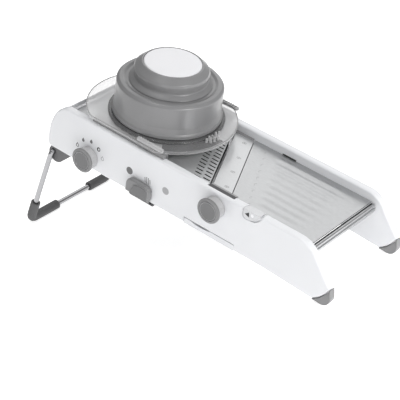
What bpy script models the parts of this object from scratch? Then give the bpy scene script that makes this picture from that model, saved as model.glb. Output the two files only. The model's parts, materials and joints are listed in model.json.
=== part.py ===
"""Mandoline slicer: an assembly of separate pieces, ready to slide, turn, lift and fold.

Every piece is drawn in the deck frame. X runs down the deck from the upper end of the rails, Y runs
across it from the near rail to the far rail, and Z stands square to it with zero at the rails' tops.
The deck frame then tilts about Y until the stand and the two front feet rest on the ground together.
"""

import math

import bmesh
import bpy
from mathutils import Matrix, Vector

MM = 0.001

# ---- Gaps -------------------------------------------------------------------------------------
GAP = 0.3 * MM               # between pieces that touch
RUNNING = 0.4 * MM           # around shafts, combs and other moving fits
SLIP = 0.5 * MM              # beside pieces that slide along each other

# ---- Rails and feet ---------------------------------------------------------------------------
CLEAR_WIDTH = 116 * MM       # between the two rails
RAIL_WALL = 9.5 * MM         # thickness of one rail
RAIL_DEPTH = 58 * MM         # top edge to bottom edge
RAIL_LENGTH = 384.4 * MM     # upper end to the front of the leg
RAIL_ROUNDING = 2.2 * MM     # rounded edges
HEAD_RUN = 28 * MM           # length of the curved upper end
HEAD_RISE = 46 * MM          # height of the curved upper end
SHOULDER_RADIUS = 30 * MM    # where the top edge turns down into the leg
LEG_SLOPE = math.radians(50)
LEG_DROP = 39 * MM           # top edge down to the top corner of the foot
FOOT_LENGTH = 19 * MM        # foot's back corner to its top corner, along the deck
FOOT_RISE = 22 * MM          # and square to the deck
FOOT_RADIUS = 10.4 * MM      # rounded toe of the foot

# ---- Folding stand ----------------------------------------------------------------------------
STAND_PIVOT_X = 5 * MM
STAND_PIVOT_BELOW = 9 * MM   # pivot under the rails' bottom edges
STAND_LEG = 106 * MM         # pivot to ground bar
STAND_LEAN = math.radians(12.2)
STAND_WIRE_RADIUS = 3 * MM
STAND_TOP_OUT = 7.5 * MM     # middle of the leg wire outside the clear width, at the pivot
STAND_FOOT_OUT = 10 * MM     # and at the ground
STAND_BEND = 9 * MM
SLEEVE_RADIUS = 5.5 * MM
SLEEVE_ALONG_BAR = 43 * MM
SLEEVE_UP_LEG = 27 * MM
SLEEVE_BORE_GAP = 0.6 * MM
LUG_RADIUS = 11 * MM
LUG_WIDTH = 11.5 * MM
LUG_LENGTH = 33 * MM

# ---- Plates of the deck -----------------------------------------------------------------------
BLADE_SLANT = math.radians(25)       # cutting edge, away from square across the deck
BLADE_EDGE_X = 192 * MM              # cutting edge at mid width
BLADE_WIDTH = 26 * MM                # along the deck
BLADE_THICKNESS = 2 * MM
BLADE_TOP = 9.3 * MM                 # below the rails' tops
THROAT = 3 * MM                      # runway's lower edge to the cutting edge
LANDING_TOP = 10.3 * MM
LANDING_THICKNESS = 1.2 * MM
LANDING_END = 348.7 * MM
SEAM = 0.8 * MM                      # between blade and landing plate
RUNWAY_TOP = 10.5 * MM
RUNWAY_THICKNESS = 2 * MM
RUNWAY_START = 21 * MM
FRONT_BAR_DEPTH = 10 * MM
FRONT_BAR_WIDTH = 4 * MM

# ---- Thickness setting: knob, pinions, ramp bars and runway legs --------------------------------
THICKNESS_KNOB_X = 62.6 * MM
THICKNESS_KNOB_Z = -43.2 * MM
KNOB_RADIUS = 14.3 * MM
KNOB_HEIGHT = 13.2 * MM
SHAFT_RADIUS = 3 * MM
KNOB_TURN = math.radians(144)        # five positions, 36 degrees apart
RUNWAY_DROP = 6.8 * MM               # finest slice to thickest slice
PINION_TEETH = 12
PINION_RADIUS = 6 * MM               # pitch radius
TOOTH_DEPTH = 1.5 * MM
RAMP_BAR_Y = 53.5 * MM               # middle of each ramp bar
RAMP_BAR_WIDTH = 5 * MM
RAMP_BAR_START = 40 * MM
RAMP_BAR_THICKNESS = 4 * MM
RAMP_LEG_LENGTH = 7 * MM             # runway leg on its ramp
RUNWAY_LEG_X = (78 * MM, 114 * MM)

# ---- Julienne combs and their slider ------------------------------------------------------------
COMB_PITCH = 6 * MM
COMB_TEETH = 17
COMB_OFFSETS = (20.7 * MM, 8.6 * MM)     # each row, up the deck from the cutting edge
COMB_SLOT_LENGTH = 9 * MM
COMB_SLOT_WIDTH = 1.5 * MM
COMB_TOOTH_HEIGHT = 12 * MM
COMB_SPINE = 5 * MM
COMB_TIP_BELOW = 14 * MM                 # tooth tips below the rails' tops, middle position
COMB_LIFT = 5.3 * MM                     # up or down from the middle position
CARRIER_THICKNESS = 4 * MM
SELECTOR_X = 140 * MM
SELECTOR_LENGTH = 36 * MM
SELECTOR_HEIGHT = 28.5 * MM
SELECTOR_PROUD = 8 * MM
SELECTOR_TRAVEL = 25.3 * MM              # each way from the middle position
SELECTOR_LANE_IN = 20 * MM                # lane inside the near rail's inner face
SELECTOR_LANE_WIDTH = 5 * MM

# ---- Blade lock, latch and drawer ---------------------------------------------------------------
LOCK_KNOB_X = 236 * MM
LOCK_KNOB_Z = -17.3 * MM
LOCK_SHAFT_RADIUS = 2.2 * MM
LOCK_LOBE = 3.7 * MM
END_BLOCK_LENGTH = 34.5 * MM
END_BLOCK_DEPTH = 11 * MM
LATCH_X = 269.7 * MM
LATCH_LENGTH = 21.3 * MM
LATCH_TRAVEL = 2.5 * MM
LATCH_PLATE = 1.7 * MM
LATCH_DROP = 12 * MM
DRAWER_X = 199 * MM
DRAWER_LENGTH = 66 * MM
DRAWER_HEIGHT = 7.4 * MM
DRAWER_DEPTH = 26 * MM
DRAWER_TRAVEL = 16 * MM
DRAWER_WALL = 1.6 * MM

# ---- Food carriage and pusher -------------------------------------------------------------------
PUSHER_X = 109.8 * MM
PUSHER_RADIUS = 61.2 * MM                # foot of the skirt
PUSHER_SHOULDER_RADIUS = 58 * MM
PUSHER_FOOT_Z = 12.2 * MM
PUSHER_SHOULDER_Z = 50 * MM
GRIP_RADIUS = 42 * MM
GRIP_TOP = 72.6 * MM
CAP_RADIUS = 31.6 * MM
CAP_THICKNESS = 3 * MM
PUSHER_WALL = 2.6 * MM
PLUNGER_RADIUS = 49.5 * MM
PLUNGER_FLOOR_Z = -3.5 * MM
PRONG_LENGTH = 4.2 * MM
CARRIAGE_FRONT_RADIUS = 80 * MM
CARRIAGE_REAR_RADIUS = 88 * MM
CARRIAGE_REAR_OFFSET = 6.3 * MM
CARRIAGE_HALF_WIDTH = 68 * MM
CARRIAGE_PLATE_Z = 5.8 * MM
CARRIAGE_PLATE = 2.7 * MM
COLLAR_RADIUS = 64.5 * MM
COLLAR_WALL = 2.2 * MM
RUNNER_LENGTH = 100 * MM
RUNNER_WIDTH = 5 * MM
CLIP_X = 121.5 * MM
CLIP_LENGTH = 38 * MM
CLIP_HEIGHT = 6.5 * MM
CLIP_WIDTH = 4.5 * MM

# ---- Fastenings ---------------------------------------------------------------------------------
TIE_RADIUS = 3 * MM
TIE_PLACES = ((38 * MM, -48 * MM), (318 * MM, -34 * MM))
SCREW_HEAD_RADIUS = 3.6 * MM
SCREW_HEAD_DEPTH = 2.2 * MM
ROUND_STEPS = 32

# ---- Dependent sizes ----------------------------------------------------------------------------
HALF_IN = CLEAR_WIDTH / 2
STAND_HALF_TOP = HALF_IN + STAND_TOP_OUT
STAND_HALF_FOOT = HALF_IN + STAND_FOOT_OUT
SELECTOR_LANE_Y = -HALF_IN + SELECTOR_LANE_IN
HALF_OUT = HALF_IN + RAIL_WALL
SLANT = math.tan(BLADE_SLANT)
HALF_PLATE = HALF_IN - GAP
STAND_PIVOT_Z = -RAIL_DEPTH - STAND_PIVOT_BELOW
BAR_X = STAND_PIVOT_X - STAND_LEG * math.sin(STAND_LEAN)
BAR_Z = STAND_PIVOT_Z - STAND_LEG * math.cos(STAND_LEAN)
FOOT_TOP_X = RAIL_LENGTH
FOOT_BACK_X = RAIL_LENGTH - FOOT_LENGTH
FOOT_BACK_Z = -LEG_DROP - FOOT_RISE
TOE_X = RAIL_LENGTH - 7.8 * MM
TOE_Z = FOOT_BACK_Z + FOOT_RADIUS - 1 * MM
BLADE_REAR_X = BLADE_EDGE_X + BLADE_WIDTH
RUNWAY_END_X = BLADE_EDGE_X - THROAT
RACK_TRAVEL = PINION_RADIUS * KNOB_TURN
RAMP_SLOPE = RUNWAY_DROP / RACK_TRAVEL
COMB_SLOPE = COMB_LIFT / SELECTOR_TRAVEL
END_BLOCK_X = BLADE_EDGE_X + HALF_IN * SLANT - 0.5 * MM
KNOB_FACE_Y = -HALF_OUT - GAP

# ---- Colours: sRGB hex, roughness, metallic -----------------------------------------------------
FINISHES = {
    "white": ("E9E9EA", 0.35, 0.0),
    "grey": ("77787A", 0.5, 0.0),
    "dark": ("4A4B4D", 0.6, 0.0),
    "steel": ("C9CACC", 0.3, 1.0),
    "blade": ("D9DADC", 0.2, 1.0),
    "clear": ("DDE2E4", 0.08, 0.0),
}


# ---- Drawing tools ------------------------------------------------------------------------------

def linear(hex_colour):
    """One sRGB hex colour as linear red, green, blue and alpha."""
    channels = [int(hex_colour[i:i + 2], 16) / 255 for i in (0, 2, 4)]
    curve = [c / 12.92 if c <= 0.04045 else ((c + 0.055) / 1.055) ** 2.4 for c in channels]
    return (*curve, 1.0)


def dress(piece, finish):
    """Give the piece its own material in one of the finishes."""
    colour, roughness, metallic = FINISHES[finish]
    material = bpy.data.materials.new(piece.name + "_" + finish)
    material.use_nodes = True
    shader = material.node_tree.nodes["Principled BSDF"]
    shader.inputs["Base Color"].default_value = linear(colour)
    shader.inputs["Roughness"].default_value = roughness
    shader.inputs["Metallic"].default_value = metallic
    if finish == "clear":
        shader.inputs["Transmission Weight"].default_value = 0.9
    piece.data.materials.append(material)


def add_piece(name, data, finish, frame, at=(0, 0, 0)):
    """Put a new object on its frame, at a place given in deck coordinates."""
    piece = bpy.data.objects.new(name, data)
    PARTS.objects.link(piece)
    piece.parent = frame
    piece.location = Vector(at) - frame_place(frame)
    if finish:
        dress(piece, finish)
    return piece


def frame_place(frame):
    """A joint frame's place in the deck frame."""
    return Vector((0, 0, 0)) if frame == DECK else frame.location.copy()


def joint_frame(name, at):
    """An empty on a joint's axis, for the pieces that move with it to hang on."""
    frame = bpy.data.objects.new(name, None)
    PARTS.objects.link(frame)
    frame.parent = DECK
    frame.location = at
    return frame


def mesh_of(shape):
    """Turn a bmesh into mesh data and free it."""
    mesh = bpy.data.meshes.new("shape")
    shape.to_mesh(mesh)
    shape.free()
    return mesh


def block_shape(low, high):
    """A box between two corners."""
    shape = bmesh.new()
    bmesh.ops.create_cube(shape, size=1)
    size = Vector(high) - Vector(low)
    middle = (Vector(high) + Vector(low)) / 2
    bmesh.ops.scale(shape, vec=size, verts=shape.verts)
    bmesh.ops.translate(shape, vec=middle, verts=shape.verts)
    return shape


def rod_shape(start, length, radius, sides=ROUND_STEPS):
    """A round rod along +Y from its start."""
    shape = bmesh.new()
    bmesh.ops.create_cone(
        shape, cap_ends=True, segments=sides, radius1=radius, radius2=radius, depth=length)
    bmesh.ops.rotate(shape, matrix=Matrix.Rotation(-math.pi / 2, 3, "X"), verts=shape.verts)
    bmesh.ops.translate(shape, vec=Vector(start) + Vector((0, length / 2, 0)), verts=shape.verts)
    return shape


def outline_mesh(outline, thickness, holes=()):
    """A flat plate from an outline in XY, from z = 0 up to its thickness."""
    curve = bpy.data.curves.new("outline", "CURVE")
    curve.dimensions = "2D"
    curve.fill_mode = "BOTH"
    curve.extrude = thickness / 2
    for ring in (outline, *holes):
        spline = curve.splines.new("POLY")
        spline.points.add(len(ring) - 1)
        for point, (x, y) in zip(spline.points, ring):
            point.co = (x, y, 0, 1)
        spline.use_cyclic_u = True
    guide = bpy.data.objects.new("outline", curve)
    PARTS.objects.link(guide)
    evaluated = guide.evaluated_get(bpy.context.evaluated_depsgraph_get())
    mesh = bpy.data.meshes.new_from_object(evaluated)
    bpy.data.objects.remove(guide)
    shape = bmesh.new()
    shape.from_mesh(mesh)
    bmesh.ops.remove_doubles(shape, verts=shape.verts, dist=0.00001)
    bmesh.ops.dissolve_limit(
        shape, angle_limit=math.radians(0.5), verts=shape.verts, edges=shape.edges)
    bmesh.ops.translate(shape, vec=(0, 0, thickness / 2), verts=shape.verts)
    bmesh.ops.recalc_face_normals(shape, faces=shape.faces)
    shape.to_mesh(mesh)
    shape.free()
    return mesh


def side_mesh(outline, y_low, y_high, holes=()):
    """A plate from a side outline of (x, z) points, standing between two y planes."""
    mesh = outline_mesh(outline, y_high - y_low, holes)
    mesh.transform(Matrix.Rotation(math.pi / 2, 4, "X"))
    mesh.transform(Matrix.Translation((0, y_high, 0)))
    return mesh


def deck_mesh(outline, z_low, z_high, holes=()):
    """A plate from a plan outline of (x, y) points, lying between two z planes."""
    mesh = outline_mesh(outline, z_high - z_low, holes)
    mesh.transform(Matrix.Translation((0, 0, z_low)))
    return mesh


def turned(name, profile, finish, frame, at, closed=False):
    """A turned piece about its own Z: an (r, z) profile that runs down its outer side."""
    shape = bmesh.new()
    corners = [shape.verts.new((r, 0, z)) for r, z in profile]
    pairs = list(zip(corners, corners[1:]))
    if closed:
        pairs.append((corners[-1], corners[0]))
    for pair in pairs:
        shape.edges.new(pair)
    piece = add_piece(name, mesh_of(shape), finish, frame, at)
    screw = piece.modifiers.new("turn", "SCREW")
    screw.axis = "Z"
    screw.steps = ROUND_STEPS
    screw.render_steps = ROUND_STEPS
    screw.use_merge_vertices = True
    screw.merge_threshold = 0.00001
    screw.use_smooth_shade = True
    return piece


def face_near(piece):
    """Turn a piece made about Z so that its top faces the near side."""
    piece.rotation_euler = (math.pi / 2, 0, 0)
    return piece


def rounded(piece, width, segments=2):
    """Round the piece's edges."""
    bevel = piece.modifiers.new("rounding", "BEVEL")
    bevel.width = width
    bevel.segments = segments
    bevel.limit_method = "ANGLE"
    bevel.angle_limit = math.radians(35)
    return piece


def combine(piece, mesh, operation):
    """Cut a mesh away from the piece, or join it on."""
    helper = bpy.data.objects.new(piece.name + "_" + operation.lower(), mesh)
    CUTTERS.objects.link(helper)
    helper.parent = piece.parent
    helper.location = -frame_place(piece.parent)
    helper.hide_render = True
    helper.display_type = "WIRE"
    boolean = piece.modifiers.new(operation.lower(), "BOOLEAN")
    boolean.operation = operation
    boolean.object = helper
    return piece


def cut(piece, *meshes):
    """Cut each mesh away from the piece."""
    for mesh in meshes:
        combine(piece, mesh, "DIFFERENCE")
    return piece


def join(piece, *meshes):
    """Join each mesh on to the piece."""
    for mesh in meshes:
        combine(piece, mesh, "UNION")
    return piece


def smooth(piece):
    """Shade the round sides smooth and keep the edges crisp."""
    piece.data.shade_smooth()
    piece.data.set_sharp_from_angle(angle=math.radians(40))
    return piece


def arc(centre, radius, start, end, steps, radius_y=None):
    """Points of an arc, from one angle in degrees to another."""
    radius_y = radius if radius_y is None else radius_y
    angles = [math.radians(start + (end - start) * i / steps) for i in range(steps + 1)]
    return [(centre[0] + radius * math.cos(a), centre[1] + radius_y * math.sin(a)) for a in angles]


def slanted_x(x_mid, y):
    """Where a line parallel to the cutting edge lies at a place across the deck."""
    return x_mid - y * SLANT


def slanted_strip(x_low, x_high, y_low, y_high):
    """Plan outline of a strip that runs parallel to the cutting edge."""
    return [
        (slanted_x(x_low, y_low), y_low),
        (slanted_x(x_high, y_low), y_low),
        (slanted_x(x_high, y_high), y_high),
        (slanted_x(x_low, y_high), y_high),
    ]


def tilt_of_deck():
    """Deck tilt at which the foot's toe and the stand's sleeve touch one ground line."""
    run = TOE_X - BAR_X
    rise = TOE_Z - BAR_Z
    return math.atan2(rise, run) - math.asin((FOOT_RADIUS - SLEEVE_RADIUS) / math.hypot(run, rise))


def deck_place(tilt):
    """Place of the deck frame: mid length and mid width over the origin, ground at zero."""
    cosine, sine = math.cos(tilt), math.sin(tilt)
    back = BAR_X * cosine + BAR_Z * sine - SLEEVE_RADIUS
    front = TOE_X * cosine + TOE_Z * sine + FOOT_RADIUS
    height = TOE_X * sine - TOE_Z * cosine + FOOT_RADIUS
    near = HALF_OUT + GAP + KNOB_HEIGHT
    far = STAND_HALF_FOOT + SLEEVE_RADIUS
    return (-(front + back) / 2, (near - far) / 2, height)


# ---- Rails, feet and fixed cross pieces ---------------------------------------------------------

def leg_bend():
    """Points where the top edge turns down into the front leg."""
    centre_x = FOOT_TOP_X - (LEG_DROP - SHOULDER_RADIUS * (1 - math.cos(LEG_SLOPE))) / math.tan(
        LEG_SLOPE) - SHOULDER_RADIUS * math.sin(LEG_SLOPE)
    start = 90 - math.degrees(LEG_SLOPE)
    return arc((centre_x, -SHOULDER_RADIUS), SHOULDER_RADIUS, start, 90, 8)


def rail_outline():
    """Side outline of a rail: curved upper end, level top, leg and foot seat."""
    head = arc((HEAD_RUN, -HEAD_RISE), HEAD_RUN, 90, 180, 12, HEAD_RISE)
    corner = arc((5 * MM, -RAIL_DEPTH + 5 * MM), 5 * MM, 180, 270, 4)
    foot_seat = [(FOOT_BACK_X, FOOT_BACK_Z), (FOOT_TOP_X, -LEG_DROP)]
    belly = [(FOOT_BACK_X - 65 * MM, -RAIL_DEPTH)]
    return head + corner + belly + foot_seat + leg_bend()


def make_rail(name, side, cutters):
    """One rail, standing on its own side of the deck."""
    y_low, y_high = sorted((side * HALF_IN, side * HALF_OUT))
    rail = add_piece(name, side_mesh(rail_outline(), y_low, y_high), "white", DECK)
    rounded(rail, RAIL_ROUNDING)
    cut(rail, *cutters)
    return rail


def tie_seats(side):
    """Holes for the cross ties, with counterbores for the screws in the far rail."""
    meshes = []
    for x, z in TIE_PLACES:
        y_start = -HALF_IN - RAIL_WALL / 2 if side < 0 else HALF_IN - GAP
        length = RAIL_WALL / 2 + GAP
        meshes.append(mesh_of(rod_shape((x, y_start, z), length, TIE_RADIUS + GAP)))
        if side > 0:
            depth = SCREW_HEAD_DEPTH + GAP
            meshes.append(mesh_of(rod_shape(
                (x, HALF_OUT - depth, z), depth + GAP, SCREW_HEAD_RADIUS + GAP)))
    return meshes


def near_rail():
    """Near rail: knob shafts, blade notch, latch pocket, drawer mouth and tie seats."""
    reach = RAIL_WALL + 2 * MM
    knob_hole = rod_shape(
        (THICKNESS_KNOB_X, -HALF_OUT - MM, THICKNESS_KNOB_Z), reach, SHAFT_RADIUS + RUNNING)
    lock_hole = rod_shape(
        (LOCK_KNOB_X, -HALF_OUT - MM, LOCK_KNOB_Z), reach, LOCK_SHAFT_RADIUS + RUNNING)
    notch = block_shape(
        (END_BLOCK_X - SLIP, -HALF_IN - 3.5 * MM, -END_BLOCK_DEPTH - 2 * MM - SLIP),
        (END_BLOCK_X + END_BLOCK_LENGTH + SLIP, -HALF_IN + MM, MM))
    mouth_top = -RAIL_DEPTH + DRAWER_HEIGHT + SLIP
    drawer_mouth = block_shape(
        (DRAWER_X - SLIP, -HALF_OUT - MM, -RAIL_DEPTH - MM),
        (DRAWER_X + DRAWER_LENGTH + SLIP, -HALF_IN + MM, mouth_top))
    shapes = (knob_hole, lock_hole, notch, drawer_mouth)
    cutters = [mesh_of(shape) for shape in shapes] + latch_pockets() + tie_seats(-1)
    make_rail("near_rail", -1, cutters)


def latch_pockets():
    """Room for the latch and its travel, in the rail's top edge and in its outer face."""
    top = deck_mesh(latch_plan(SLIP, LATCH_TRAVEL, MM), -LATCH_PLATE - 2 * SLIP, MM)
    side = side_mesh(
        latch_side(SLIP, LATCH_TRAVEL, MM), -HALF_OUT - MM, -HALF_OUT + LATCH_PLATE)
    return [top, side]


def far_rail():
    """Far rail: blind bearing for the thickness shaft, and tie seats with counterbores."""
    bearing = rod_shape(
        (THICKNESS_KNOB_X, HALF_IN - MM, THICKNESS_KNOB_Z), RAIL_WALL / 2 + MM,
        SHAFT_RADIUS + RUNNING)
    make_rail("far_rail", 1, [mesh_of(bearing)] + tie_seats(1))


def make_foot(name, side):
    """Grey toe under a front leg, with a rounded front."""
    lean = math.atan2(FOOT_RISE, FOOT_LENGTH)
    shift_x, shift_z = GAP * math.sin(lean), -GAP * math.cos(lean)
    back = (FOOT_BACK_X + shift_x, FOOT_BACK_Z + shift_z)
    top = (FOOT_TOP_X + shift_x, -LEG_DROP + shift_z)
    toe = arc((TOE_X, TOE_Z), FOOT_RADIUS, -90, 14, 8)
    y_low, y_high = sorted((side * HALF_IN, side * HALF_OUT))
    foot = add_piece(name, side_mesh([back] + toe + [top], y_low, y_high), "grey", DECK)
    rounded(foot, RAIL_ROUNDING * 0.8)


def head_bridge():
    """Curved cross piece that joins the rails at the upper end."""
    outer = arc((HEAD_RUN, -HEAD_RISE), HEAD_RUN - 1.5 * MM, 106, 172, 8, HEAD_RISE - 1.5 * MM)
    inner = arc((HEAD_RUN, -HEAD_RISE), HEAD_RUN - 5 * MM, 172, 106, 8, HEAD_RISE - 5 * MM)
    mesh = side_mesh(outer + inner, -HALF_PLATE, HALF_PLATE)
    add_piece("head_bridge", mesh, "white", DECK)


def front_bar():
    """Folded steel bar across the low end of the landing plate."""
    low = (LANDING_END + GAP, -HALF_PLATE, -LANDING_TOP - FRONT_BAR_DEPTH)
    high = (LANDING_END + GAP + FRONT_BAR_WIDTH, HALF_PLATE, -LANDING_TOP - MM)
    rounded(add_piece("front_bar", mesh_of(block_shape(low, high)), "steel", DECK), 1.2 * MM)


def landing_plate():
    """Steel plate that takes the food after the cut, notched round the blade's near end."""
    start = BLADE_REAR_X + SEAM
    block_end = END_BLOCK_X + END_BLOCK_LENGTH + SLIP
    block_side = -HALF_IN + 5 * MM + SLIP
    plan = [
        (slanted_x(start, block_side), block_side),
        (block_end, block_side),
        (block_end, -HALF_PLATE),
        (LANDING_END, -HALF_PLATE),
        (LANDING_END, HALF_PLATE),
        (slanted_x(start, HALF_PLATE), HALF_PLATE),
    ]
    mesh = deck_mesh(plan, -LANDING_TOP - LANDING_THICKNESS, -LANDING_TOP)
    add_piece("landing_plate", mesh, "steel", DECK)


def make_ledge(name, side):
    """Rib on a rail's inner face that carries the landing plate."""
    top = -LANDING_TOP - LANDING_THICKNESS - GAP
    start = max(LOCK_KNOB_X + 22 * MM, END_BLOCK_X + END_BLOCK_LENGTH + 4 * MM)
    y_low, y_high = sorted((side * (HALF_PLATE - 3 * MM), side * HALF_PLATE))
    mesh = mesh_of(block_shape((start, y_low, top - 3 * MM), (LANDING_END - 2 * MM, y_high, top)))
    add_piece(name, mesh, "white", DECK)


def slicing_blade():
    """Diagonal steel blade with a ground cutting edge."""
    thick = BLADE_THICKNESS
    profile = [
        (BLADE_EDGE_X, -BLADE_TOP - 0.3 * MM),
        (BLADE_EDGE_X + 5 * MM, -BLADE_TOP - thick),
        (BLADE_REAR_X, -BLADE_TOP - thick),
        (BLADE_REAR_X, -BLADE_TOP),
        (BLADE_EDGE_X, -BLADE_TOP),
    ]
    mesh = side_mesh(profile, -HALF_IN + 5 * MM, HALF_IN - 5 * MM)
    shear_across(mesh)
    add_piece("slicing_blade", mesh, "blade", DECK)


def shear_across(mesh):
    """Slide every point along X so that straight-across lines run parallel to the cutting edge."""
    for vertex in mesh.vertices:
        vertex.co.x -= vertex.co.y * SLANT


def blade_ends():
    """Plastic blocks on the two ends of the blade; the near one sits in the rail's notch."""
    top = -2 * MM
    low = (END_BLOCK_X, -HALF_IN - 3 * MM, -END_BLOCK_DEPTH - 2 * MM)
    high = (END_BLOCK_X + END_BLOCK_LENGTH, -HALF_IN + 5 * MM - GAP, top)
    near = add_piece("blade_end_near", mesh_of(block_shape(low, high)), "grey", DECK)
    rounded(near, 0.8 * MM)
    y_low, y_high = HALF_IN - 5 * MM + GAP, HALF_PLATE
    plan = slanted_strip(BLADE_EDGE_X, BLADE_REAR_X, y_low, y_high)
    add_piece("blade_end_far", deck_mesh(plan, -BLADE_TOP - 3 * MM, -BLADE_TOP), "grey", DECK)


def blade_bed():
    """Cross member under the rear half of the blade."""
    top = -BLADE_TOP - BLADE_THICKNESS - GAP
    y_far = HALF_IN - 5 * MM
    plan = slanted_strip(BLADE_EDGE_X + 10 * MM, BLADE_EDGE_X + 24 * MM, -y_far, y_far)
    bed = add_piece("blade_bed", deck_mesh(plan, top - 2.4 * MM, top), "white", DECK)
    return bed


def cross_ties():
    """Steel tie rods between the rails, and the screws that pull the far rail on to them."""
    for number, (x, z) in enumerate(TIE_PLACES, start=1):
        y_start = -HALF_IN - RAIL_WALL / 2 + GAP
        y_end = HALF_IN + RAIL_WALL / 2 - GAP
        rod = rod_shape((x, y_start, z), y_end - y_start, TIE_RADIUS, 20)
        smooth(add_piece(f"cross_tie_{number}", mesh_of(rod), "steel", DECK))
        head = rod_shape(
            (x, HALF_OUT - SCREW_HEAD_DEPTH, z), SCREW_HEAD_DEPTH - GAP, SCREW_HEAD_RADIUS, 20)
        smooth(add_piece(f"rail_screw_{number}", mesh_of(head), "steel", DECK))


# ---- Folding stand ------------------------------------------------------------------------------

def stand_route():
    """Middle line of the stand's wire, as one half: in-turned end, leg, corner, bar."""
    pivot = Vector((STAND_PIVOT_X, -STAND_HALF_TOP, STAND_PIVOT_Z))
    corner = Vector((BAR_X, -STAND_HALF_FOOT, BAR_Z))
    end = Vector((STAND_PIVOT_X, -STAND_HALF_TOP + 13 * MM, STAND_PIVOT_Z))
    middle = Vector((BAR_X, 0, BAR_Z))
    return [end] + bend(end, pivot, corner, 4 * MM) + bend(pivot, corner, middle, STAND_BEND)


def bend(before, corner, after, radius, steps=5):
    """Points that round one corner of a route."""
    one = (before - corner).normalized()
    two = (after - corner).normalized()
    points = []
    for i in range(steps + 1):
        t = i / steps
        start = corner + one * radius
        end = corner + two * radius
        points.append(start * (1 - t) ** 2 + corner * 2 * t * (1 - t) + end * t ** 2)
    return points


def mirrored(points):
    """The same points on the far side, in reverse order."""
    return [Vector((p.x, -p.y, p.z)) for p in reversed(points)]


def wire(name, points, radius, finish, frame):
    """A round wire along a route."""
    curve = bpy.data.curves.new(name, "CURVE")
    curve.dimensions = "3D"
    curve.bevel_depth = radius
    curve.bevel_resolution = 2
    curve.use_fill_caps = True
    spline = curve.splines.new("POLY")
    spline.points.add(len(points) - 1)
    for point, place in zip(spline.points, points):
        point.co = (*(place - frame_place(frame)), 1)
    return add_piece(name, curve, finish, frame, frame_place(frame))


def stand(frame):
    """Steel wire stand with a rubber sleeve around each ground corner."""
    half = stand_route()
    wire("stand_wire", half + mirrored(half), STAND_WIRE_RADIUS, "steel", frame)
    leg_way = (Vector((STAND_PIVOT_X, -STAND_HALF_TOP, STAND_PIVOT_Z))
               - Vector((BAR_X, -STAND_HALF_FOOT, BAR_Z))).normalized()
    corner = Vector((BAR_X, -STAND_HALF_FOOT, BAR_Z))
    up = corner + leg_way * SLEEVE_UP_LEG
    along = corner + Vector((0, SLEEVE_ALONG_BAR, 0))
    route = [up] + bend(up, corner, along, STAND_BEND) + [along]
    for name, points in (("near_sleeve", route), ("far_sleeve", mirrored(route))):
        outer = wire(name, points, SLEEVE_RADIUS, "dark", frame)
        hollow_sleeve(outer, points, frame)


def hollow_sleeve(sleeve, points, frame):
    """Turn the sleeve's curve into a mesh and bore it for the wire."""
    evaluated = sleeve.evaluated_get(bpy.context.evaluated_depsgraph_get())
    mesh = bpy.data.meshes.new_from_object(evaluated)
    weld(mesh)
    name, finish = sleeve.name, "dark"
    bpy.data.objects.remove(sleeve)
    piece = add_piece(name, mesh, None, frame, frame_place(frame))
    if not mesh.materials:
        dress(piece, finish)
    first, last = points[0], points[-1]
    longer = ([first + (first - points[1]).normalized() * MM] + points
              + [last + (last - points[-2]).normalized() * MM])
    bore = wire(name + "_bore", longer, STAND_WIRE_RADIUS + SLEEVE_BORE_GAP, "dark", frame)
    bore_mesh = bpy.data.meshes.new_from_object(
        bore.evaluated_get(bpy.context.evaluated_depsgraph_get()))
    weld(bore_mesh)
    bore_mesh.transform(Matrix.Translation(frame_place(frame)))
    bpy.data.objects.remove(bore)
    cut(piece, bore_mesh)


def weld(mesh):
    """Weld a tube's loose end caps."""
    shape = bmesh.new()
    shape.from_mesh(mesh)
    bmesh.ops.remove_doubles(shape, verts=shape.verts, dist=0.00001)
    bmesh.ops.recalc_face_normals(shape, faces=shape.faces)
    shape.to_mesh(mesh)
    shape.free()


def make_lug(name, side):
    """Hinge block under a rail's upper end, bored for the stand's in-turned wire."""
    boss = (STAND_PIVOT_X + 4 * MM, STAND_PIVOT_Z - 1.5 * MM)
    outline = arc(boss, LUG_RADIUS, 170, 320, 10)
    outline += [(LUG_LENGTH, -RAIL_DEPTH - 1.5 * MM), (LUG_LENGTH - 2 * MM, -RAIL_DEPTH + 12 * MM)]
    outline += [(STAND_PIVOT_X + 3 * MM, -RAIL_DEPTH + 12 * MM)]
    outer = STAND_HALF_TOP - STAND_WIRE_RADIUS - SLIP
    y_low, y_high = sorted((side * (outer - LUG_WIDTH), side * outer))
    lug = add_piece(name, side_mesh(outline, y_low, y_high), "dark", DECK)
    y_low, y_high = sorted((side * HALF_PLATE, side * (HALF_OUT + MM)))
    under_rail = block_shape((-10 * MM, y_low, -RAIL_DEPTH - GAP), (LUG_LENGTH + MM, y_high, 0))
    bore = rod_shape(
        (STAND_PIVOT_X, side * STAND_HALF_TOP - 20 * MM, STAND_PIVOT_Z), 40 * MM,
        STAND_WIRE_RADIUS + RUNNING)
    cut(lug, mesh_of(under_rail), mesh_of(bore))


# ---- Knobs --------------------------------------------------------------------------------------

def make_knob(name, frame, x, z):
    """A round knob with a lipped edge, and the disc set into its face."""
    height, radius = KNOB_HEIGHT, KNOB_RADIUS
    recess = height - 1.2 * MM
    profile = [
        (0, recess), (radius - 3 * MM, recess), (radius - 3 * MM, height), (radius - 1.2 * MM, height),
        (radius, height - 1.4 * MM), (radius - 0.6 * MM, height / 2), (radius, 1.5 * MM),
        (radius, 0), (0, 0)]
    face_near(turned(name, profile, "grey", frame, (x, KNOB_FACE_Y, z)))
    disc_radius = radius - 3 * MM - GAP
    disc = [(0, height), (disc_radius - 0.8 * MM, height), (disc_radius, height - 0.7 * MM),
            (disc_radius, recess + GAP), (0, recess + GAP)]
    face_near(turned(name + "_disc", disc, "grey", frame, (x, KNOB_FACE_Y, z)))


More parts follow.
